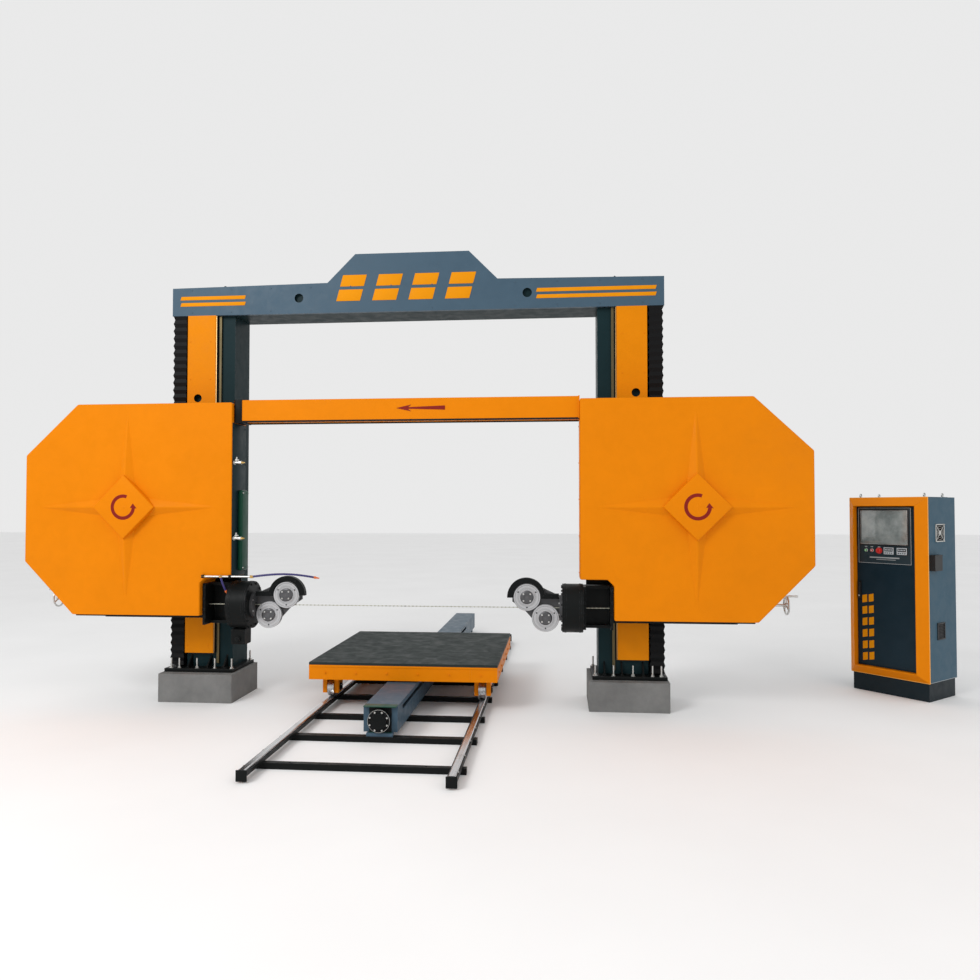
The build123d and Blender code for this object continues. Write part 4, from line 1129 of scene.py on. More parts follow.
def buildBeamMarks():
    low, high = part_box("beam_cover")
    face = low.y
    bm = bmesh.new()
    look = beamLook
    total = look["cellCount"] * look["cellWidth"] + (look["cellCount"]
                                                     - 1) * look["cellGap"] + look["cellLean"]
    for k in range(look["cellCount"]):
        x = look["cellShift"] - total / 2 + k * (look["cellWidth"] + look["cellGap"])
        addPlate(bm, slantedCell(x, low.z + look["cellLift"], look["cellWidth"], look["cellHeight"] * 0.44,
                                 look["cellLean"] * 0.44), face - look["raise"], face + 0.001, 0.001)
        top = low.z + look["cellLift"] + look["cellHeight"] * 0.56
        addPlate(bm,
                 slantedCell(x + look["cellLean"] * 0.56, top, look["cellWidth"], look["cellHeight"] * 0.44,
                                 look["cellLean"] * 0.44), face - look["raise"], face + 0.001, 0.001)
    for width, x in ((look["bandWidths"][0], low.x + 0.09),
                     (look["bandWidths"][1], high.x - 0.09 - look["bandWidths"][1])):
        for row in range(2):
            z = low.z + 0.105 + row * (look["bandHeight"] + look["bandGap"])
            addPlate(bm, slantedCell(x, z, width, look["bandHeight"], 0.012), face - look["raise"],
                     face + 0.001, 0.001)
    settle(bm, "beam_markings", finishes["marking"], "root")
    rows = [(k * look["boltStep"] - 2.475, z) for k in range(12) for z in (low.z + 0.035, low.z + 0.285)]
    addFasteners("beam_cover_screws", "root", [((x, face, z), (0, -1, 0)) for x, z in rows], panScrew,
                 paints["beam_paint"])
    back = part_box("top_beam")[1].y
    spots = [((x * 0.5 - 2.5, back, z), (0, 1, 0)) for x in range(11) for z in (low.z + 0.05, low.z + 0.26)]
    addFasteners("top_beam_bolts", "root", spots, hexBolt)
    bm = bmesh.new()
    for side in sides.values():                     # welded end plates with lifting eyes
        x = side * high.x
        ends = sorted((x - side * 0.004, x + side * 0.004))
        addBlock(bm, (ends[0], face + 0.05, low.z + 0.006), (ends[1], back - 0.004, low.z + 0.304), 0.002)
        eye = Vector((side * 2.2, 0.55, low.z + 0.31))
        addTurned(bm, roundSection(0.032, 0.011, 12), eye + Vector((0, 0, 0.045)), (1, 0, 0), 28,
                  closed=True)
        addTurned(bm, [(0, 0), (0, 0.03), (0.008, 0.03), (0.016, 0.014), (0.02, 0)], eye, (0, 0, 1), 24)
    coated(bm, "beam_end_plates", "root", "teal_paint")


def buildTieMarks():
    look = arrowLook
    low, high = duct["low"], duct["high"]
    face = low.y
    z = (low.z + high.z) / 2 + look["middle"]
    points = [(look["tip"], z), (look["tip"] + look["head"], z + look["halfHead"]),
              (look["tip"] + look["head"] - look["notch"], z + look["halfShaft"]),
              (look["tail"], z + look["halfTail"]), (look["tail"], z - look["halfTail"]),
              (look["tip"] + look["head"] - look["notch"], z - look["halfShaft"]),
              (look["tip"] + look["head"], z - look["halfHead"])]
    bm = bmesh.new()
    addPlate(bm, points, face - 0.003, face + 0.001)
    settle(bm, "wire_run_arrow", finishes["darkRed"], "carriage")
    # near black strips along the tie beam's lower edges: a painted shadow line under the beam
    bm = bmesh.new()
    addBlock(bm, (low.x + 0.002, face - 0.002, low.z - 0.012),
             (high.x - 0.002, face + 0.020, low.z + 0.004), 0.001)
    addBlock(bm, (low.x + 0.002, high.y - 0.020, low.z - 0.012),
             (high.x - 0.002, high.y + 0.002, low.z + 0.004), 0.001)
    settle(bm, "tie_beam_shadow_strips", finishes["shadow"], "carriage")
    bm = bmesh.new()
    for x in (-0.62, 0.62):                         # joint straps
        addBlock(bm, (x - 0.03, high.y - 0.002, low.z + 0.01), (x + 0.03, high.y + 0.006, high.z - 0.01),
                 0.002)
    for side in sides.values():                     # end flanges against the guards
        ends = sorted((side * 1.799, side * 1.785))
        addBlock(bm, (ends[0], low.y - 0.006, low.z - 0.004), (ends[1], high.y + 0.006, high.z + 0.006),
                 0.003)
    coated(bm, "tie_beam_flanges", "carriage", "orange_paint")
    spots = [((x * 0.3 - 1.65, high.y, z), (0, 1, 0)) for x in range(12)
             for z in (low.z + 0.03, high.z - 0.03)]
    addFasteners("tie_beam_screws", "carriage", spots, panScrew)


buildBeamMarks()
buildTieMarks()
print("beams finished")


# Column strips, base studs and covers

columnLook = {"stripInner": 2.180, "stripSplit": 2.189, "stripOuter": 2.1985, "front": 0.300,
              "screwStep": 0.42}


def buildColumnTrim():
    look = columnLook
    low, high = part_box("column_covers")
    for name, inner, outer, finish in (("bronze_wiper_strips", look["stripSplit"], look["stripOuter"],
                                        paints["bronze"]),
                                       ("rubber_wiper_strips", look["stripInner"],
                                        look["stripSplit"] - 0.0005,
                                        paints["bellows_rubber"])):
        bm = bmesh.new()
        for side in sides.values():
            ends = sorted((side * inner, side * outer))
            addBlock(bm, (ends[0], look["front"] + 0.006, low.z), (ends[1], 0.3335, high.z - 0.002), 0.001)
        settle(bm, name, finish, "root")
    spots = []
    for side in sides.values():
        count = int((high.z - low.z) / look["screwStep"])
        for k in range(count + 1):
            z = low.z + 0.08 + k * look["screwStep"]
            if z < high.z - 0.03:
                spots.append(((side * 2.2, 0.33, z), (-side, 0, 0)))
                spots.append(((side * 2.26, look["front"], z), (0, -1, 0)))
                spots.append(((side * 2.49, look["front"], z), (0, -1, 0)))
    addFasteners("column_cover_screws", "root", spots, panScrew, finishes["coverShade"])
    spots = []
    for side in sides.values():
        for k in range(9):
            spots.append(((side * 2.02, 0.76, 0.6 + 0.42 * k), (0, 1, 0)))
            spots.append(((side * 2.50, 0.76, 0.6 + 0.42 * k), (0, 1, 0)))
    addFasteners("column_back_bolts", "root", spots, hexBolt)
    spots = [((side * x, y, 0.335), (0, 0, 1)) for side in sides.values() for x in (1.96, 2.64)
             for y in (0.24, 0.745)]
    spots += [((side * x, 0.24, 0.335), (0, 0, 1)) for side in sides.values() for x in (2.15, 2.35, 2.55)]
    addFasteners("anchor_nuts", "root", spots, anchorNut)
    bm = bmesh.new()
    for side in sides.values():                     # back cover plates on the columns
        ends = sorted((side * 2.06, side * 2.46))
        for z in (0.55, 2.35):
            addBlock(bm, (ends[0], 0.758, z), (ends[1], 0.768, z + 1.5), 0.004)
    coated(bm, "column_back_doors", "root", "teal_paint")
    bm = bmesh.new()
    for side in sides.values():                     # rolled front edge and weld toes of the base
        ends = sorted((side * 1.93, side * 2.70))
        addBlock(bm, (ends[0], 0.196, 0.292), (ends[1], 0.204, 0.338), 0.003)
        for x in (2.06, 2.24, 2.46):
            addTurned(bm, [(0, 0), (0, 0.009), (0.12, 0.009), (0.12, 0)], (side * x + 0.009, 0.235, 0.337),
                      (0, 1, 0), 10)
            addTurned(bm, [(0, 0), (0, 0.009), (0.12, 0.009), (0.12, 0)], (side * x - 0.009, 0.235, 0.337),
                      (0, 1, 0), 10)
    coated(bm, "base_front_edges", "root", "black_paint")


buildColumnTrim()
print("columns finished")


# Left guard's side: dark panel, coolant fittings, green box and bracket

panelLook = {"thick": 0.003, "low": 1.370, "high": 2.972, "front": -0.158, "back": 0.186,
             "fittings": (2.555, 1.765), "boxLow": 1.42, "boxHigh": 2.27, "collar": 0.085}


def buildGuardSides():
    look = panelLook
    for name, side in sides.items():
        face = side * 1.8
        inward = -side
        ends = sorted((face, face + inward * look["thick"]))
        bm = bmesh.new()
        addBlock(bm, (ends[0], look["front"], look["low"]), (ends[1], look["back"], look["high"]), 0.001)
        finish = "teal_paint" if side < 0 else "orange_paint"
        coated(bm, f"guard_side_panel_{name}", "carriage", finish)
        inner = face + inward * look["thick"]
        spots = [((inner, y, look["low"] + 0.04 + 0.38 * k), (inward, 0, 0)) for k in range(5)
                 for y in (-0.14, 0.168)]
        addFasteners(f"guard_side_screws_{name}", "carriage", spots, panScrew, paints[finish])
    inner = -1.8 + look["thick"]
    bm = bmesh.new()
    addBlock(bm, (inner, -0.02, look["boxLow"]), (inner + 0.05, 0.15, look["boxHigh"]), 0.018, 4)
    coated(bm, "valve_box", "carriage", "green_paint")
    spots = [((inner + 0.05, y, z), (1, 0, 0)) for y in (0.0, 0.13)
             for z in (look["boxLow"] + 0.03, look["boxHigh"] - 0.03)]
    addFasteners("valve_box_screws", "carriage", spots, capScrew)
    steel, copper = bmesh.new(), bmesh.new()
    for z in look["fittings"]:
        at = Vector((inner, -0.125, z))
        addTurned(steel,
                  [(0, 0), (0, 0.022), (0.006, 0.024), (0.012, 0.022), (0.012, 0.014), (0.055, 0.014),
                   (0.055, 0.019),
                          (0.085, 0.019), (0.085, 0)], at, (1, 0, 0), 28)
        addTurned(steel, [(0, 0), (0, 0.011), (0.05, 0.011), (0.05, 0)], at + Vector((0.03, -0.012, 0.028)),
                  (0, 1, 0), 20)
        addTurned(steel, [(-0.03, 0), (-0.03, 0.009), (0.03, 0.009), (0.03, 0)],
                  at + Vector((0.03, 0, 0.028)), (0, 0, 1), 16)
        addTurned(copper, [(0, 0), (0, 0.013), (0.012, 0.013), (0.022, 0.008), (0.034, 0.006), (0.034, 0)],
                  at + Vector((0.085, 0, 0)), (1, 0, 0), 24)
    settle(steel, "coolant_valves", finishes["zinc"], "carriage", sharp=30)
    settle(copper, "coolant_valve_tips", finishes["brass"], "carriage", sharp=30)
    bm = bmesh.new()
    low, high = duct["low"], duct["high"]
    ends = (low.x + 0.001, low.x + look["collar"])
    addBlock(bm, (ends[0], low.y - 0.006, low.z - 0.016), (ends[1], low.y + 0.001, high.z + 0.006), 0.002)
    addBlock(bm, (ends[0], high.y - 0.001, low.z - 0.016), (ends[1], high.y + 0.006, high.z + 0.006), 0.002)
    addBlock(bm, (ends[0], low.y + 0.001, high.z - 0.001), (ends[1], high.y - 0.001, high.z + 0.006), 0.002)
    addBlock(bm, (ends[0], low.y + 0.001, low.z - 0.016), (ends[1], high.y - 0.001, low.z + 0.001), 0.002)
    coated(bm, "tie_beam_bracket", "carriage", "black_paint")
    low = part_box("guard_left")[0]
    bm = bmesh.new()                                # dark drip strip under each guard
    for side in sides.values():
        ends = sorted((side * 2.30, side * 3.50))
        addBlock(bm, (ends[0], -0.150, low.z - 0.014), (ends[1], 0.186, low.z - 0.0005), 0.003)
    coated(bm, "guard_drip_strips", "carriage", "black_paint")


buildGuardSides()
print("guard sides finished")


# Coolant line: steel pipe, jointed hoses and nozzles. The jointed hose stands up by itself

coolantLook = {"pipeY": -0.192, "pipeZ": 1.372, "pipeRadius": 0.0105, "linkPitch": 0.0165,
               "linkRadius": 0.0112,
               "linkLength": 0.0115, "coreRadius": 0.0085,
               "long": ((-1.570, 0, 0), (-1.420, 0.010, 0.020), (-1.230, 0.050, 0.028),
                        (-1.060, 0.100, 0.010),
                        (-0.950, 0.140, -0.014)),
               "short": ((-1.900, 0, 0), (-1.880, -0.006, -0.070), (-1.855, 0.030, -0.150))}


def buildCoolant():
    look = coolantLook
    y, z = look["pipeY"], look["pipeZ"]
    hoses = []
    for key in ("long", "short"):
        points = [Vector((x, y + dy, z + dz)) for x, dy, dz in look[key]]
        hoses.append(points)
        made = runTree(polyPath("hosePath", points, smooth=True), trees["chain"], {
            "Pitch": look["linkPitch"], "Link Radius": look["linkRadius"], "Link Length": look["linkLength"],
            "Core Radius": look["coreRadius"], "Link Sides": 16, "Material": paints["hose_plastic"]})
        hose = showMesh(made, f"jointed_hose_{key}", paints["hose_plastic"], "carriage",
                        sharp=30)
    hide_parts("coolant_line")
    bm = bmesh.new()
    radius = look["pipeRadius"]
    addTurned(bm, [(0, 0), (0, radius), (0.53, radius), (0.53, 0)], (-2.10, y, z), (1, 0, 0), 24)
    settle(bm, "coolant_pipe", finishes["zinc"], "carriage")
    bm = bmesh.new()
    for x in (-1.585, -1.915, -2.105):
        addTurned(bm,
                  [(0, 0), (0, 0.012), (0.003, 0.016), (0.024, 0.016), (0.024, 0.0135), (0.036, 0.0135),
                   (0.036, 0)],
                  (x, y, z), (1, 0, 0), 6)
    settle(bm, "coolant_fittings", finishes["brass"], "carriage", sharp=20)
    bm = bmesh.new()
    for x in (-2.09, -1.80):
        addBlock(bm, (x - 0.014, y - 0.015, z - 0.017), (x + 0.014, -0.1703, z + 0.017), 0.004)
    coated(bm, "coolant_pipe_clips", "carriage", "black_paint")
    bm = bmesh.new()
    for points, length in zip(hoses, (0.052, 0.042)):
        way = (points[-1] - points[-2]).normalized()
        addTurned(bm,
                  [(-0.006, 0), (-0.006, 0.012), (0.004, 0.0135), (0.012, 0.0135), (0.016, 0.010),
                   (length, 0.0055),
                       (length, 0.0035), (length - 0.01, 0.003), (length - 0.01, 0)], points[-1], way, 24)
    settle(bm, "coolant_nozzles", finishes["nozzle"], "carriage", sharp=25)


buildCoolant()
print("coolant line built")


# Guide heads

headLook = {"flangeRing": 0.221, "flangeBolts": 12, "housingFace": 1.62, "armFace": 1.592, "armRing": 0.112,
            "bracketFace": -0.11, "boltXs": (1.844, 2.114), "boltZs": (0.90, 1.02, 1.13, 1.25),
            "bandWidth": 0.022, "bandRadii": (0.2448, 0.2475), "bandXs": (1.640, 1.790),
            "guardScrews": ((1.36, 1.315), (1.16, 1.315), (1.51, 1.182), (1.43, 1.182))}


def buildHeadTrim():
    look = headLook
    bm = bmesh.new()
    for name, side in sides.items():
        axisZ = jointSpot(f"head_{name}_swivel").z
        spots = ringSpots((side * look["housingFace"], 0, axisZ), look["flangeRing"], look["flangeBolts"],
                          15,
                          (-side, 0, 0))
        addFasteners(f"head_flange_bolts_{name}", "carriage", spots, hexBolt, paints["black_paint"])
        spots = ringSpots((side * look["armFace"], 0, axisZ), look["armRing"], 6, 30, (-side, 0, 0))
        addFasteners(f"head_arm_bolts_{name}", f"head_{name}", spots, capScrew)
        spots = [((side * x, look["bracketFace"], z), (0, -1, 0)) for x in look["boltXs"]
                 for z in look["boltZs"]]
        addFasteners(f"bracket_bolts_{name}", "carriage", spots, hexBolt, paints["black_paint"])
        wide, (inner, outer) = look["bandWidth"], look["bandRadii"]
        for start in look["bandXs"]:                # stepped bands on the cylinder
            band = [(0, inner), (0, outer), (wide, outer), (wide, inner)]
            addTurned(bm, band, (side * start, 0, axisZ), (side, 0, 0), 96, closed=True)
    coated(bm, "head_housing_bands", "carriage", "black_paint")
    bm = bmesh.new()
    low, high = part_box("swivel_motor")
    addBlock(bm, (low.x - 0.003, low.y + 0.03, low.z + 0.035),
             (low.x + 0.001, high.y - 0.03, high.z - 0.045), 0.001)
    addTurned(bm, [(0, 0), (0, 0.028), (0.02, 0.028), (0.028, 0.018), (0.028, 0)],
              ((low.x + high.x) / 2, low.y + 0.002, low.z + 0.06), (0, -1, 0), 24)
    coated(bm, "swivel_motor_cap", "carriage", "black_paint")
    spots = [((x, low.y, z), (0, -1, 0)) for x in (low.x + 0.015, high.x - 0.015)
             for z in (low.z + 0.02, high.z - 0.025)]
    addFasteners("swivel_motor_screws", "carriage", spots, capScrew, paints["black_paint"])
    for name, side in sides.items():
        low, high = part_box(f"wheel_guard_{name}")
        spots = [((side * x, low.y, z), (0, -1, 0)) for x, z in look["guardScrews"]]
        addFasteners(f"wheel_guard_screws_{name}", f"head_{name}", spots, capScrew, paints["black_paint"])


buildHeadTrim()
print("guide heads finished")


# Track, drive beam and trolley

trackLook = {"clipStep": 0.4, "clipX": 0.8345, "clipTop": 0.0865, "stopXs": (0.776, 0.842),
             "stopHeight": 0.024,
             "gauge": 0.8, "sleeperYs": (-1.12, -0.42, 0.38, 1.18, 1.98, 2.78, 3.58)}


def buildTrackTrim():
    low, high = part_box("track_rails")
    bolts, clips = [], bmesh.new()
    count = int((high.y - low.y) / trackLook["clipStep"])
    for side in sides.values():
        for k in range(count + 1):
            y = low.y + 0.12 + k * trackLook["clipStep"]
            if y > high.y - 0.05:
                continue
            x = side * trackLook["clipX"]           # on the outer edge, clear of the wheels' flanges
            bolts.append(((x, y, trackLook["clipTop"]), (0, 0, 1)))
            addBlock(clips, (x - 0.006, y - 0.02, low.z), (x + 0.006, y + 0.02, trackLook["clipTop"]), 0.001)
    addFasteners("rail_clip_bolts", "root", bolts,
                 {**capScrew, "Head Radius": 0.005, "Washer Radius": 0.0055})
    coated(clips, "rail_clips", "root", "black_paint")
    bm = bmesh.new()
    for side in sides.values():                     # rounded caps at the rails' ends
        for y, way in ((low.y, -1), (high.y, 1)):
            x, ends = side * trackLook["gauge"], sorted((y, y + way * 0.012))
            addBlock(bm, (x - 0.044, ends[0], 0.010), (x + 0.044, ends[1], 0.098), 0.005, 3)
    coated(bm, "rail_end_caps", "root", "black_paint")
    bm = bmesh.new()
    for side in sides.values():                     # buffers that stop the trolley
        ends = sorted(side * x for x in trackLook["stopXs"])
        addBlock(bm, (ends[0], high.y - 0.012, high.z), (ends[1], high.y, high.z + trackLook["stopHeight"]),
                 0.002)
    coated(bm, "rail_stops", "root", "black_paint")


def buildDriveTrim():
    centreZ = jointSpot("drive_screw_turn").z
    bm = bmesh.new()
    rim = [(0, 0.0982), (0, 0.1005), (0.008, 0.1005), (0.008, 0.0982)]
    addTurned(bm, rim, (0, -1.184, centreZ), (0, 1, 0), 64, closed=True)
    settle(bm, "drive_cover_rim", finishes["zinc"], "root")
    spots = ringSpots((0, -1.191, centreZ), 0.084, 8, 22.5, (0, -1, 0))
    addFasteners("drive_cover_bolts", "root", spots, {**capScrew, "Head Radius": 0.007})
    low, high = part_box("drive_beam")
    spots = [((side * 0.11, y, 0.052), (0, 0, 1)) for side in sides.values() for y in trackLook["sleeperYs"]]
    addFasteners("drive_beam_bolts", "root", spots, hexBolt)
    bm = bmesh.new()
    addBlock(bm, (-0.105, -1.125, 0.004), (0.105, -1.096, 0.082), 0.004)
    addBlock(bm, (-0.150, low.y - 0.002, high.z - 0.002), (0.150, low.y + 0.10, high.z + 0.004), 0.002)
    coated(bm, "drive_beam_foot_plate", "root", "green_paint")
    spots = [((x, -1.125, z), (0, -1, 0)) for x in (-0.08, 0.08) for z in (0.022, 0.062)]
    addFasteners("foot_plate_bolts", "root", spots, capScrew)


def buildTrolleyTrim():
    low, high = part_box("table_top")
    bm = bmesh.new()
    for y in (low.y - 0.004, high.y - 0.002):       # pressed lip along the table's ends
        addBlock(bm, (low.x, y, 0.452), (high.x, y + 0.006, 0.474), 0.002)
    coated(bm, "table_lips", "trolley", "orange_paint")
    spots = [((x * 0.32 - 0.80, low.y, 0.395), (0, -1, 0)) for x in range(6)]
    spots += [((side * high.x, low.y + 0.2 + 0.33 * k, 0.395), (side, 0, 0)) for side in sides.values()
              for k in range(6)]
    addFasteners("table_frame_bolts", "trolley", spots, {**hexBolt, "Head Radius": 0.009},
                 paints["orange_paint"])
    for name in ("front", "rear"):
        axle = jointSpot(f"{name}_wheels_roll")
        bm, spots = bmesh.new(), []
        for side in sides.values():                 # bearing caps on the axle boxes
            for way in (-1, 1):
                x = side * trackLook["gauge"] + way * 0.084
                addTurned(bm, [(0, 0), (0, 0.040), (0.008, 0.040), (0.014, 0.030), (0.014, 0)],
                          (x, axle.y, axle.z),
                          (way, 0, 0), 28)
                spots += ringSpots((x + way * 0.008, axle.y, axle.z), 0.034, 4, 45, (way, 0, 0))
        coated(bm, f"{name}_bearing_caps", "trolley", "black_paint")
        addFasteners(f"{name}_bearing_screws", "trolley", spots,
                     {**capScrew, "Head Radius": 0.004, "Washer Radius": 0.0045})


buildTrackTrim()
buildDriveTrim()
buildTrolleyTrim()
print("track and trolley finished")


# Control cabinet

cabinetLook = {"half": 0.440, "depth": 0.600, "top": 2.200, "foot": 0.200,
               "doorFace": -0.034, "panelFace": -0.039, "panel": (-0.315, 0.280, 1.460, 2.085),
               "screen": (-0.300, 0.258, 1.662, 2.068), "bezel": 0.016, "controlsZ": 1.605,
               "meters": (0.034, 0.180), "meterSize": (0.122, 0.088),
               "cells": 6, "cellBox": (-0.282, -0.150, 0.350, 1.100), "cellGap": 0.034, "cellLean": 0.028,
               "ventBox": (0.165, 0.335, 0.652, 0.836), "grilleHalf": 0.098, "grilleBar": 0.013}
inward = Vector(joints["door_lock_turn"]["axis"])
rightward = Vector((inward.y, -inward.x, 0))
cabinetFoot = Vector(mounts["cabinet_foot"]["pos_m"])
cabinetOrigin = cabinetFoot - inward * cabinetLook["depth"] / 2
cabinetPlace = Matrix(((rightward.x, inward.x, 0, cabinetOrigin.x),
                       (rightward.y, inward.y, 0, cabinetOrigin.y),
                       (0, 0, 1, 0), (0, 0, 0, 1)))
cabinetInverse = cabinetPlace.inverted()


def cabinetSpot(node):
    # box of a CAD node, in the cabinet's own directions
    corners = [cabinetInverse @ vert.co for vert in nodes[node].data.vertices]
    low = [min(c[k] for c in corners) for k in range(3)]
    high = [max(c[k] for c in corners) for k in range(3)]
    return Vector(low), Vector(high)


def paintCabinetShell():
    mesh = nodes["cabinet_shell"].data
    mesh.materials.append(paints["orange_paint"])
    mesh.materials.append(finishes["baseCoat"])
    for polygon in mesh.polygons:
        centre = cabinetInverse @ polygon.center
        if centre.y < -0.0003:
            polygon.material_index = 1
        elif centre.z < cabinetLook["foot"]:
            polygon.material_index = 2


def addRing(bm, xs, zs, front, back, width, bevel=0.001):
    # four flat bars round an opening
    addBlock(bm, (xs[0], front, zs[0]), (xs[0] + width, back, zs[1]), bevel)
    addBlock(bm, (xs[1] - width, front, zs[0]), (xs[1], back, zs[1]), bevel)
    addBlock(bm, (xs[0] + width, front, zs[0]), (xs[1] - width, back, zs[0] + width), bevel)
    addBlock(bm, (xs[0] + width, front, zs[1] - width), (xs[1] - width, back, zs[1]), bevel)


def buildCabinetBody():
    look = cabinetLook
    half, top, foot = look["half"], look["top"], look["foot"]
    bm = bmesh.new()
    for x in (-half, half):                         # rounded corners of the bevelled frame, pale beads as a painted highlight on its outer edges
        addTurned(bm, [(0, 0), (0, 0.0042), (top - foot, 0.0042), (top - foot, 0)], (x, 0, foot), (0, 0, 1),
                  12)
    for z in (foot, top):
        addTurned(bm, [(0, 0), (0, 0.0042), (2 * half, 0.0042), (2 * half, 0)], (-half, 0, z), (1, 0, 0), 12)
    settle(bm, "cabinet_frame_highlight_beads", finishes["paintedHighlightEdge"], "root", place=cabinetPlace)
    bm = bmesh.new()
    for x in (-half, half):                         # pale strip above the base, a painted highlight on the body's lower lip
        addBlock(bm, (x - 0.0015, 0.001, foot + 0.002), (x + 0.0015, look["depth"], foot + 0.007), 0.0005)
    addBlock(bm, (-half, look["depth"] - 0.001, foot + 0.002), (half, look["depth"] + 0.0015, foot + 0.007),
             0.0005)
    settle(bm, "cabinet_base_highlight_strip", finishes["lightGrey"], "root", place=cabinetPlace)
    bm = bmesh.new()
    for x in (-0.37, 0.37):                         # roof seams and rain edge
        addBlock(bm, (x - 0.01, 0.03, top), (x + 0.01, look["depth"] - 0.03, top + 0.004), 0.0015)
    addRing(bm, (-0.40, 0.40), (0.26, top - 0.06), look["depth"], look["depth"] + 0.006, 0.03, 0.002)
    addBlock(bm, (-0.37, look["depth"], 0.29), (0.37, look["depth"] + 0.003, top - 0.09), 0.001)
    coated(bm, "cabinet_rear_cover", "root", "cabinet_paint", place=cabinetPlace)
    rows = [(x, look["depth"] + 0.006, 0.275 + 0.37 * k) for x in (-0.385, 0.385) for k in range(6)]
    addFasteners("cabinet_rear_screws", "root", [(spot, (0, 1, 0)) for spot in rows], panScrew,
                 place=cabinetPlace)
    bm = bmesh.new()
    for x in (-0.36, 0.36):                         # lifting eyes
        for y in (0.10, 0.50):
            addTurned(bm, roundSection(0.018, 0.006, 10), (x - 0.003, y, top + 0.026), (1, 0, 0), 24,
                      closed=True)
            addTurned(bm, [(0, 0), (0, 0.016), (0.005, 0.016), (0.009, 0.008), (0.011, 0)], (x, y, top),
                      (0, 0, 1), 20)
    settle(bm, "cabinet_lifting_eyes", finishes["zinc"], "root", sharp=40,
           place=cabinetPlace)
    buildFanGrille()
    buildVent()
    buildPendant()
    buildCabinetInside()


def buildFanGrille():
    look = cabinetLook
    hub = cabinetInverse @ jointSpot("cabinet_fan_spin")
    half, wide, face = look["grilleHalf"], look["grilleBar"], look["half"]
    bm = bmesh.new()
    for edge in (-1, 1):
        ends = sorted((edge * half, edge * (half - wide)))
        addBlock(bm, (face - 0.001, hub.y + ends[0], hub.z - half),
                 (face + 0.009, hub.y + ends[1], hub.z + half), 0.003)
        addBlock(bm, (face - 0.001, hub.y - half, hub.z + ends[0]),
                 (face + 0.009, hub.y + half, hub.z + ends[1]), 0.003)
    for radius in (0.030, 0.052, 0.074):
        addTurned(bm, roundSection(radius, 0.002, 8), (face + 0.004, hub.y, hub.z), (1, 0, 0), 48,
                  closed=True)
    for k in range(4):
        way = Vector((0, math.cos(math.radians(45 + 90 * k)), math.sin(math.radians(45 + 90 * k))))
        addTurned(bm, [(0.012, 0), (0.012, 0.0035), (0.118, 0.0035), (0.118, 0)],
                  Vector((face + 0.005, hub.y, hub.z)), way, 10)
    addTurned(bm, [(0, 0), (0, 0.022), (0.005, 0.022), (0.008, 0.017), (0.008, 0)], (face, hub.y, hub.z),
              (1, 0, 0), 28)
    settle(bm, "fan_grille", finishes["zinc"], "root", sharp=40, place=cabinetPlace)
    corner = half - wide / 2
    spots = [((face + 0.009, hub.y + a * corner, hub.z + b * corner), (1, 0, 0)) for a in (-1, 1)
             for b in (-1, 1)]
    addFasteners("fan_grille_screws", "root", spots, {**panScrew, "Head Radius": 0.005}, place=cabinetPlace)
    bm = bmesh.new()                                # square black fan body behind the grille
    for a in (-1, 1):
        for b in (-1, 1):
            at = (face - 0.0005, hub.y + a * 0.074, hub.z + b * 0.074)
            addBlock(bm, (at[0], at[1] - 0.012, at[2] - 0.012),
                     (at[0] + 0.0025, at[1] + 0.012, at[2] + 0.012), 0.001)
    coated(bm, "fan_body_corners", "root", "black_plastic", place=cabinetPlace)


def buildVent():
    look = cabinetLook
    y0, y1, z0, z1 = look["ventBox"]
    face = look["half"]
    bm = bmesh.new()
    for y in (y0, y1 - 0.014):
        addBlock(bm, (face - 0.001, y, z0), (face + 0.009, y + 0.014, z1), 0.003)
    for z in (z0, z1 - 0.014):
        addBlock(bm, (face - 0.001, y0, z), (face + 0.009, y1, z + 0.014), 0.003)
    addBlock(bm, (face - 0.001, y0 + 0.01, z0 + 0.01), (face + 0.001, y1 - 0.01, z1 - 0.01), 0.0)
    coated(bm, "lower_vent_frame", "root", "black_plastic", place=cabinetPlace)
    count = 9
    step = (z1 - z0 - 0.034) / count
    made = runTree(looseObject("slats", bpy.data.meshes.new("slats")), trees["row"], {
        "Count": count, "Step": (0.0, 0.0, step), "Bar Size": (0.011, y1 - y0 - 0.026, 0.003),
        "Tilt": (0.0, 0.6, 0.0), "Material": paints["black_plastic"]})
    made.transform(cabinetPlace @ Matrix.Translation((face + 0.0045, (y0 + y1) / 2, z0 + 0.017 + step / 2)))
    showMesh(made, "lower_vent_slats", None, "root")


def buildPendant():
    low, high = cabinetSpot("pendant_box")
    bm = bmesh.new()                                # rolled rim and a clip strip
    addBlock(bm, (low.x + 0.001, low.y - 0.002, high.z - 0.012),
             (high.x + 0.002, low.y + 0.004, high.z + 0.002), 0.0015)
    addBlock(bm, (low.x + 0.001, high.y - 0.004, high.z - 0.012),
             (high.x + 0.002, high.y + 0.002, high.z + 0.002), 0.0015)
    addBlock(bm, (high.x - 0.004, low.y - 0.002, high.z - 0.012),
             (high.x + 0.002, high.y + 0.002, high.z + 0.002), 0.0015)
    coated(bm, "pendant_box_rim", "root", "black_plastic", place=cabinetPlace)


insideLook = {"plateY": 0.575, "rails": (0.55, 0.95, 1.35, 1.75), "modules": 9, "pitch": 0.062}


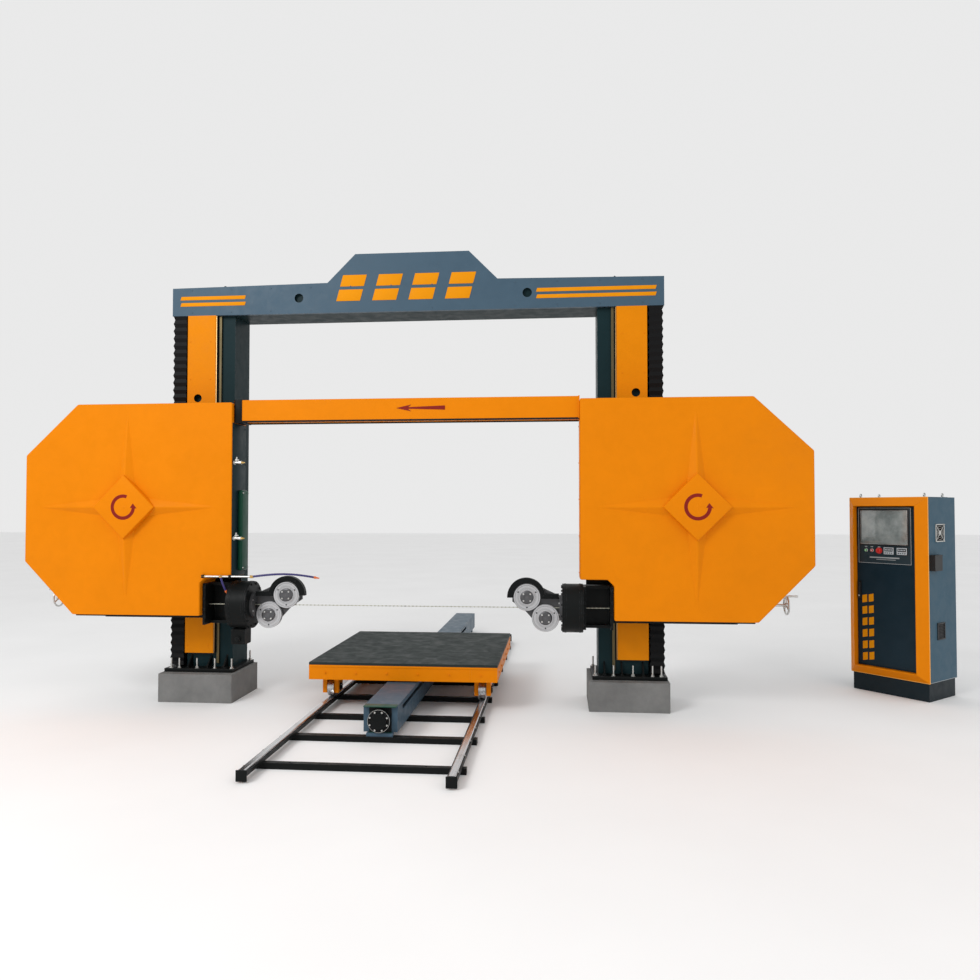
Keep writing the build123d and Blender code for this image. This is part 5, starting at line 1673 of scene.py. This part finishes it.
def buildCabinetInside():
    # mounting plate with rails, breakers, contactors and two drives
    look = insideLook
    bm = bmesh.new()
    addBlock(bm, (-0.40, look["plateY"], 0.30), (0.40, look["plateY"] + 0.004, 2.10), 0.001)
    for z in look["rails"]:
        addBlock(bm, (-0.36, look["plateY"] - 0.008, z - 0.0175), (0.36, look["plateY"], z + 0.0175), 0.001)
    settle(bm, "mounting_plate", finishes["zinc"], "root", place=cabinetPlace)
    dark, pale = bmesh.new(), bmesh.new()
    for row, z in enumerate(look["rails"]):
        for k in range(look["modules"]):
            x = -0.33 + k * look["pitch"]
            tall = 0.045 if (k + row) % 3 else 0.060
            target = dark if row % 2 else pale
            addBlock(target, (x, look["plateY"] - 0.085, z - tall),
                     (x + look["pitch"] - 0.008, look["plateY"] - 0.008, z + tall), 0.003)
            lever = pale if row % 2 else dark
            addBlock(lever, (x + 0.018, look["plateY"] - 0.096, z - 0.012),
                     (x + 0.036, look["plateY"] - 0.084, z + 0.012), 0.002)
    for z in (0.72, 1.13, 1.54):                    # slotted cable trunking
        addBlock(pale, (-0.38, look["plateY"] - 0.06, z - 0.03), (0.38, look["plateY"], z + 0.03), 0.002)
    for x in (-0.32, 0.02):
        addBlock(dark, (x, look["plateY"] - 0.18, 1.86), (x + 0.28, look["plateY"], 2.08), 0.008, 3)
    coated(dark, "contactors", "root", "black_plastic", place=cabinetPlace)
    settle(pale, "breakers_and_trunking", finishes["lightGrey"], "root", place=cabinetPlace)


def buildDoorFace():
    look = cabinetLook
    face = look["panelFace"]
    x0, x1, z0, z1 = look["panel"]
    bm = bmesh.new()
    addBlock(bm, (x0 + 0.006, face - 0.0015, z0 + 0.006), (x1 - 0.006, face + 0.001, z1 - 0.006), 0.0008)
    settle(bm, "instrument_panel", finishes["steelDoorLight"], "door", place=cabinetPlace)
    bm = bmesh.new()
    addRing(bm, (x0, x1), (z0, z1), face - 0.0025, face + 0.002, 0.005, 0.001)
    settle(bm, "instrument_panel_edge", finishes["lightGrey"], "door", place=cabinetPlace)
    x0, x1, z0, z1 = look["screen"]
    bm = bmesh.new()
    addRing(bm, (x0, x1), (z0, z1), face - 0.007, face, look["bezel"], 0.002)
    coated(bm, "screen_bezel", "door", "black_plastic", place=cabinetPlace)
    bm = bmesh.new()
    addRing(bm, (x0 + look["bezel"] - 0.002, x1 - look["bezel"] + 0.002),
            (z0 + look["bezel"] - 0.002, z1 - look["bezel"] + 0.002),
            face - 0.0108, face - 0.006, 0.004, 0.0008)
    settle(bm, "screen_trim", finishes["zinc"], "door", place=cabinetPlace)
    bm = bmesh.new()
    inset = look["bezel"] + 0.001
    addBlock(bm, (x0 + inset, face - 0.005, z0 + inset), (x1 - inset, face - 0.001, z1 - inset), 0.0005)
    settle(bm, "screen_glass", finishes["screen"], "door", place=cabinetPlace)
    buildMeters(face)
    buildDoorMarks()
    buildLock()


def buildMeters(face):
    look = cabinetLook
    wide, tall = look["meterSize"]
    z = look["controlsZ"]
    bodies, faces, windows = bmesh.new(), bmesh.new(), bmesh.new()
    for x in look["meters"]:
        addBlock(bodies, (x - wide / 2, face - 0.008, z - tall / 2), (x + wide / 2, face, z + tall / 2),
                 0.003, 3)
        addBlock(faces, (x - wide / 2 + 0.006, face - 0.0095, z - tall / 2 + 0.006),
                 (x + wide / 2 - 0.006, face - 0.007, z + tall / 2 - 0.006), 0.001)
        addBlock(windows, (x - 0.046, face - 0.0105, z - 0.006), (x + 0.046, face - 0.009, z + 0.030), 0.001)
        for k in range(4):
            addBlock(windows, (x - 0.044 + 0.024 * k, face - 0.0115, z - 0.028),
                     (x - 0.030 + 0.024 * k, face - 0.009, z - 0.018), 0.001)
        for k in range(5):
            addBlock(faces, (x - 0.038 + 0.016 * k, face - 0.0112, z + 0.004),
                     (x - 0.028 + 0.016 * k, face - 0.0102, z + 0.020), 0.0004)
    coated(bodies, "meter_bodies", "door", "black_plastic", place=cabinetPlace)
    settle(faces, "meter_faces", finishes["dial"], "door", place=cabinetPlace)
    settle(windows, "meter_windows", finishes["shadow"], "door", place=cabinetPlace)


def buildDoorMarks():
    look = cabinetLook
    x0, x1, z0, z1 = look["cellBox"]
    door = look["doorFace"]
    count = look["cells"]
    tall = (z1 - z0 - (count - 1) * look["cellGap"]) / count
    bm = bmesh.new()
    for k in range(count):
        z = z0 + k * (tall + look["cellGap"])
        middle = (x0 + x1) / 2
        lean = look["cellLean"]
        addPlate(bm,
                 [(x0, z), (middle - 0.010, z + lean / 2), (middle - 0.010, z + tall + lean / 2 - 0.012),
                  (x0, z + tall - 0.012)],
                 door - 0.002, door + 0.001)
        addPlate(bm, [(middle + 0.010, z + lean / 2), (x1, z + lean), (x1, z + tall + lean - 0.012),
                      (middle + 0.010, z + tall + lean / 2 - 0.012)], door - 0.002, door + 0.001)
    settle(bm, "door_markings", finishes["marking"], "door", place=cabinetPlace)
    bm = bmesh.new()
    face = look["panelFace"]
    addBlock(bm, (-0.185, face - 0.0035, 1.520), (0.150, face - 0.001, 1.534), 0.0008)
    addBlock(bm, (-0.110, face - 0.0035, 1.502), (0.110, face - 0.001, 1.508), 0.0008)
    for x in (-0.227, -0.159, -0.077):              # blank label plates above the controls
        addBlock(bm, (x - 0.014, face - 0.003, 1.640), (x + 0.014, face - 0.001, 1.650), 0.0006)
    settle(bm, "blank_label_plates", finishes["lightGrey"], "door", place=cabinetPlace)


def buildLock():
    low, high = cabinetSpot("door_lock")
    at = cabinetInverse @ jointSpot("door_lock_turn")
    door = cabinetLook["doorFace"]
    bm = bmesh.new()
    addBlock(bm, (at.x - 0.017, door - 0.006, low.z - 0.022), (at.x + 0.017, door, high.z + 0.018), 0.003, 3)
    settle(bm, "lock_plate", finishes["shadow"], "door", place=cabinetPlace)
    bm = bmesh.new()
    addBlock(bm, (low.x, low.y, low.z), (high.x, low.y + 0.012, high.z), 0.005, 4)
    addTurned(bm, [(0, 0), (0, 0.0095), (0.036, 0.0095), (0.036, 0)], (at.x, low.y + 0.010, at.z),
              (0, 1, 0), 28)
    handle = coated(bm, "swing_handle", "door_lock", "black_plastic",
                    place=cabinetPlace)
    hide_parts("door_lock")
    bm = bmesh.new()
    addTurned(bm, [(0, 0), (0, 0.0085), (-0.003, 0.0085), (-0.0035, 0.0075), (-0.002, 0.005), (-0.002, 0)],
              (at.x, low.y + 0.001, at.z), (0, 1, 0), 28)
    addBlock(bm, (at.x - 0.0012, low.y - 0.0026, at.z - 0.005),
             (at.x + 0.0012, low.y - 0.0012, at.z + 0.005), 0.0)
    settle(bm, "lock_cylinder", finishes["zinc"], "door_lock", sharp=30,
           place=cabinetPlace)


buttonLook = {"start": {"slot": "green_plastic", "lens": "white", "ring": 0.0205, "cap": 0.0150},
              "stop": {"slot": "red_plastic", "lens": "white", "ring": 0.0205, "cap": 0.0150}}


def buildButtons():
    face = cabinetLook["panelFace"]
    z = cabinetLook["controlsZ"]
    for name, look in buttonLook.items():
        low, high = cabinetSpot(f"{name}_button")
        x = (low.x + high.x) / 2
        bm = bmesh.new()
        addTurned(bm,
                  [(0, look["cap"] + 0.0012), (0, look["ring"]), (-0.004, look["ring"]),
                   (-0.007, look["ring"] - 0.003),
                       (-0.007, look["cap"] + 0.0012)], (x, face - 0.001, z), (0, 1, 0), 36, closed=True)
        settle(bm, f"{name}_button_collar", finishes["zinc"], "door", sharp=30,
               place=cabinetPlace)
        bm = bmesh.new()
        profile = [(0, 0), (0, look["cap"] - 0.004), (0.0015, look["cap"] - 0.001), (0.004, look["cap"]),
                   (0.011, look["cap"]), (0.011, 0.0115), (high.y - low.y, 0.0115), (high.y - low.y, 0)]
        addTurned(bm, profile, (x, low.y, z), (0, 1, 0), 36)
        cap = coated(bm, f"{name}_button_cap", f"{name}_button", look["slot"],
                     sharp=30, place=cabinetPlace)
        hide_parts(f"{name}_button")
        bm = bmesh.new()
        addTurned(bm, [(-0.0012, 0), (-0.0008, 0.006), (0.0005, 0.0085), (0.001, 0)], (x, low.y, z),
                  (0, 1, 0), 28)
        settle(bm, f"{name}_button_lens", finishes[look["lens"]], f"{name}_button", sharp=30,
               place=cabinetPlace)
    low, high = cabinetSpot("estop_button")
    x = (low.x + high.x) / 2
    bm = bmesh.new()
    addTurned(bm,
              [(0, 0), (0, 0.016), (0.002, 0.023), (0.006, 0.028), (0.011, 0.030), (0.015, 0.0285),
               (0.016, 0.024),
                   (0.0165, 0.0165), (0.018, 0.0115), (high.y - low.y, 0.0115), (high.y - low.y, 0)],
              (x, low.y, z), (0, 1, 0), 48)
    cap = coated(bm, "estop_mushroom", "estop_button", "red_plastic", sharp=40,
                 place=cabinetPlace)
    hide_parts("estop_button")
    bm = bmesh.new()
    addTurned(bm, [(0, 0.020), (0, 0.036), (-0.0025, 0.036), (-0.004, 0.034), (-0.004, 0.020)],
              (x, face - 0.001, z),
              (0, 1, 0), 48, closed=True)
    coated(bm, "estop_ring", "door", "red_plastic", sharp=30, place=cabinetPlace)
    bm = bmesh.new()
    addTurned(bm, [(0, 0.0125), (0, 0.0195), (-0.0045, 0.0195), (-0.0045, 0.0125)], (x, face - 0.001, z),
              (0, 1, 0),
              36, closed=True)
    settle(bm, "estop_collar", finishes["zinc"], "door", sharp=30, place=cabinetPlace)


paintCabinetShell()
buildCabinetBody()
buildDoorFace()
buildButtons()
print("cabinet finished")


# Motors

motorLook = {"fins": 30, "finHeight": 0.022, "finThick": 0.0045, "finRing": 0.1515, "frontY": 0.455,
             "backY": 0.760}


liftMotorLook = {"x": 0.0, "y": 0.45, "foot": 4.460, "top": 4.800, "finMiddle": 4.655, "boltRing": 0.101}


def buildMainMotor():
    look = motorLook
    spin = jointSpot("motor_pulley_spin")
    x, z = spin.x, spin.z
    length = look["backY"] - look["frontY"]
    made = runTree(looseObject("fins", bpy.data.meshes.new("fins")), trees["fin"], {
        "Count": look["fins"], "Ring Radius": look["finRing"], "Fin Size": (look["finHeight"],
                                                                            look["finThick"], length),
        "Material": paints["green_paint"]})
    made.transform(Matrix.Translation((x, look["frontY"] + length / 2, z)))
    showMesh(made, "main_motor_fins", None, "tension_left")
    bm = bmesh.new()
    addTurned(bm, [(0, 0.130), (0, 0.158), (0.004, 0.162), (0.020, 0.162), (0.024, 0.154), (0.024, 0.130)],
              (x, 0.4405, z), (0, 1, 0), 64, closed=True)
    addTurned(bm, [(0, 0.145), (0, 0.162), (0.100, 0.162), (0.116, 0.150), (0.1215, 0.120), (0.1215, 0.030),
                   (0.1200, 0.030), (0.1200, 0.145)], (x, 0.764, z), (0, 1, 0), 64, closed=True)
    for radius in (0.030, 0.055, 0.080, 0.105):
        addTurned(bm, roundSection(radius, 0.0025, 8), (x, 0.8865, z), (0, 1, 0), 48, closed=True)
    addBlock(bm, (x - 0.075, 0.515, z + 0.196), (x + 0.075, 0.705, z + 0.210), 0.004, 3)
    addTurned(bm, roundSection(0.020, 0.007, 10), (x, 0.735, z + 0.186), (0, 1, 0), 24, closed=True)
    coated(bm, "main_motor_bells", "tension_left", "green_paint")
    spots = [((x + a, b, z + 0.210), (0, 0, 1)) for a in (-0.06, 0.06) for b in (0.53, 0.69)]
    addFasteners("terminal_lid_screws", "tension_left", spots, capScrew)
    spots = ringSpots((x, 0.4655, z), 0.135, 8, 22.5, (0, 1, 0))
    addFasteners("motor_bell_bolts", "tension_left", spots, hexBolt)
    bm = bmesh.new()
    for a in (-0.045, 0.045):                       # cable glands of the terminal box
        addTurned(bm, [(0, 0), (0, 0.017), (0.014, 0.017), (0.014, 0.013), (0.032, 0.013), (0.032, 0)],
                  (x - 0.0705, 0.61 + a, z + 0.165), (-1, 0, 0), 6)
    coated(bm, "terminal_glands", "tension_left", "black_plastic", sharp=25)


def buildLiftMotor():
    x, y, foot, top = liftMotorLook["x"], liftMotorLook["y"], liftMotorLook["foot"], liftMotorLook["top"]
    made = runTree(looseObject("liftFins", bpy.data.meshes.new("liftFins")), trees["fin"], {
        "Count": 24, "Ring Radius": 0.094, "Fin Size": (0.014, 0.0035,
                                                        0.19), "Material": paints["green_paint"]})
    made.transform(Matrix.Translation((x, y, liftMotorLook["finMiddle"])) @ Matrix.Rotation(math.pi / 2, 4,
                                                                                            "X"))
    showMesh(made, "lift_motor_fins", None, "root")
    bm = bmesh.new()
    addTurned(bm, [(0.072, 0.090), (0.072, 0.112), (0.090, 0.112), (0.094, 0.100), (0.094, 0.090)],
              (x, y, foot), (0, 0, 1), 48,
              closed=True)
    addTurned(bm,
              [(0, 0.090), (0, 0.1005), (0.045, 0.1005), (0.055, 0.090), (0.057, 0), (0.054, 0),
               (0.054, 0.088)],
              (x, y, top - 0.052), (0, 0, 1), 48)
    addBlock(bm, (x + 0.088, y - 0.05, 4.60), (x + 0.150, y + 0.05, 4.71), 0.005, 3)
    coated(bm, "lift_motor_cowl", "root", "green_paint")
    spots = ringSpots((x, y, foot + 0.090), liftMotorLook["boltRing"], 4, 45, (0, 0, 1))
    addFasteners("lift_motor_bolts", "root", spots, hexBolt)


carriageLook = {"rowXs": (2.14, 2.66, 3.33), "rowZs": (0.95, 1.20, 1.45, 2.70, 2.93),
                "slideXs": (2.60, 2.74, 2.88, 3.02, 3.16, 3.30), "slideZs": (1.480, 2.640),
                "travel": 0.045, "spindleRing": 0.10}


def buildCarriageTrim():
    # bolt rows of the carriage plates, left out where the motor's plate slides over them
    motorLow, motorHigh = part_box("main_motor")
    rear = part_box("carriage_plates")[1].y
    travel = carriageLook["travel"]
    places = [(x, z) for z in carriageLook["rowZs"] for x in carriageLook["rowXs"]]
    places += [(x, z) for z in carriageLook["slideZs"] for x in carriageLook["slideXs"]]
    bolts = []
    for side in sides.values():
        for x, z in places:
            hidden = motorLow.x - travel < side * x < motorHigh.x + travel and motorLow.z < z < motorHigh.z
            if not hidden:
                bolts.append(((side * x, rear, z), (0, 1, 0)))
    addFasteners("carriage_bolts", "carriage", bolts, hexBolt)
    for name, side in sides.items():
        hub, rear = jointSpot(f"flywheel_{name}_spin"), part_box(f"tension_slide_{name}")[1].y
        spots = ringSpots((hub.x, rear, hub.z), carriageLook["spindleRing"], 8, 22.5, (0, 1, 0))
        addFasteners(f"spindle_bolts_{name}", f"tension_{name}", spots, hexBolt)


buildMainMotor()
buildLiftMotor()
buildCarriageTrim()
print("motors finished")


# Floor, light and camera

def paleMaterial():
    material, tree, shader = newMaterial("pale floor")
    grain = addNode(tree, "ShaderNodeTexNoise", {"Vector": objectPlace(tree), "Scale": 0.6, "Detail": 3.0})
    tone = rangeNode(tree, grain.outputs["Fac"], 0.3, 0.7)
    tree.links.new(mixColour(tree, tone, (0.86, 0.86, 0.86, 1), (0.89, 0.89, 0.89, 1)),
                   shader.inputs["Base Color"])
    shader.inputs["Roughness"].default_value = 0.8
    return material


studio = {"floorHalf": 60.0, "worldLight": 0.82, "keyPower": 640.0, "keySize": 4.0, "fillPower": 60.0,
          "lens": 28.65, "cameraPlace": (1.6, -8.0, 2.06), "cameraYaw": 5.128, "cameraPitch": 1.469}


def addAreaLight(name, place, target, power, size):
    light = bpy.data.lights.new(name, "AREA")
    light.energy = power
    light.size = size
    lamp = looseObject(name, light)
    lamp.location = place
    lamp.rotation_euler = (Vector(target) - Vector(place)).to_track_quat("-Z", "Y").to_euler()


def buildStudio():
    half = studio["floorHalf"]
    mesh = bpy.data.meshes.new("floor")
    mesh.from_pydata([(-half, -half, -0.001), (half, -half, -0.001), (half, half, -0.001),
                      (-half, half, -0.001)],
                     [], [(0, 1, 2, 3)])
    mesh.materials.append(paleMaterial())
    floor = looseObject("floor", mesh)
    world = bpy.data.worlds.new("studio")
    world.use_nodes = True
    background = world.node_tree.nodes["Background"]
    background.inputs[0].default_value = (1, 1, 1, 1)
    background.inputs[1].default_value = studio["worldLight"]
    bpy.context.scene.world = world
    addAreaLight("key", (-5.5, -9.0, 8.5), (0.3, 0, 1.8), studio["keyPower"], studio["keySize"])
    addAreaLight("fill", (8.5, -7.0, 4.0), (1.0, 0, 1.5), studio["fillPower"], 5.0)
    camera = bpy.data.cameras.new("camera")
    camera.sensor_width = 36
    camera.lens = studio["lens"]
    camera.clip_end = 300
    eye = looseObject("camera", camera)
    eye.location = studio["cameraPlace"]
    eye.rotation_euler = (math.radians(90 + studio["cameraPitch"]), 0, math.radians(studio["cameraYaw"]))
    bpy.context.scene.camera = eye
    bpy.context.scene.view_settings.view_transform = "Standard"


buildStudio()
print("studio built")
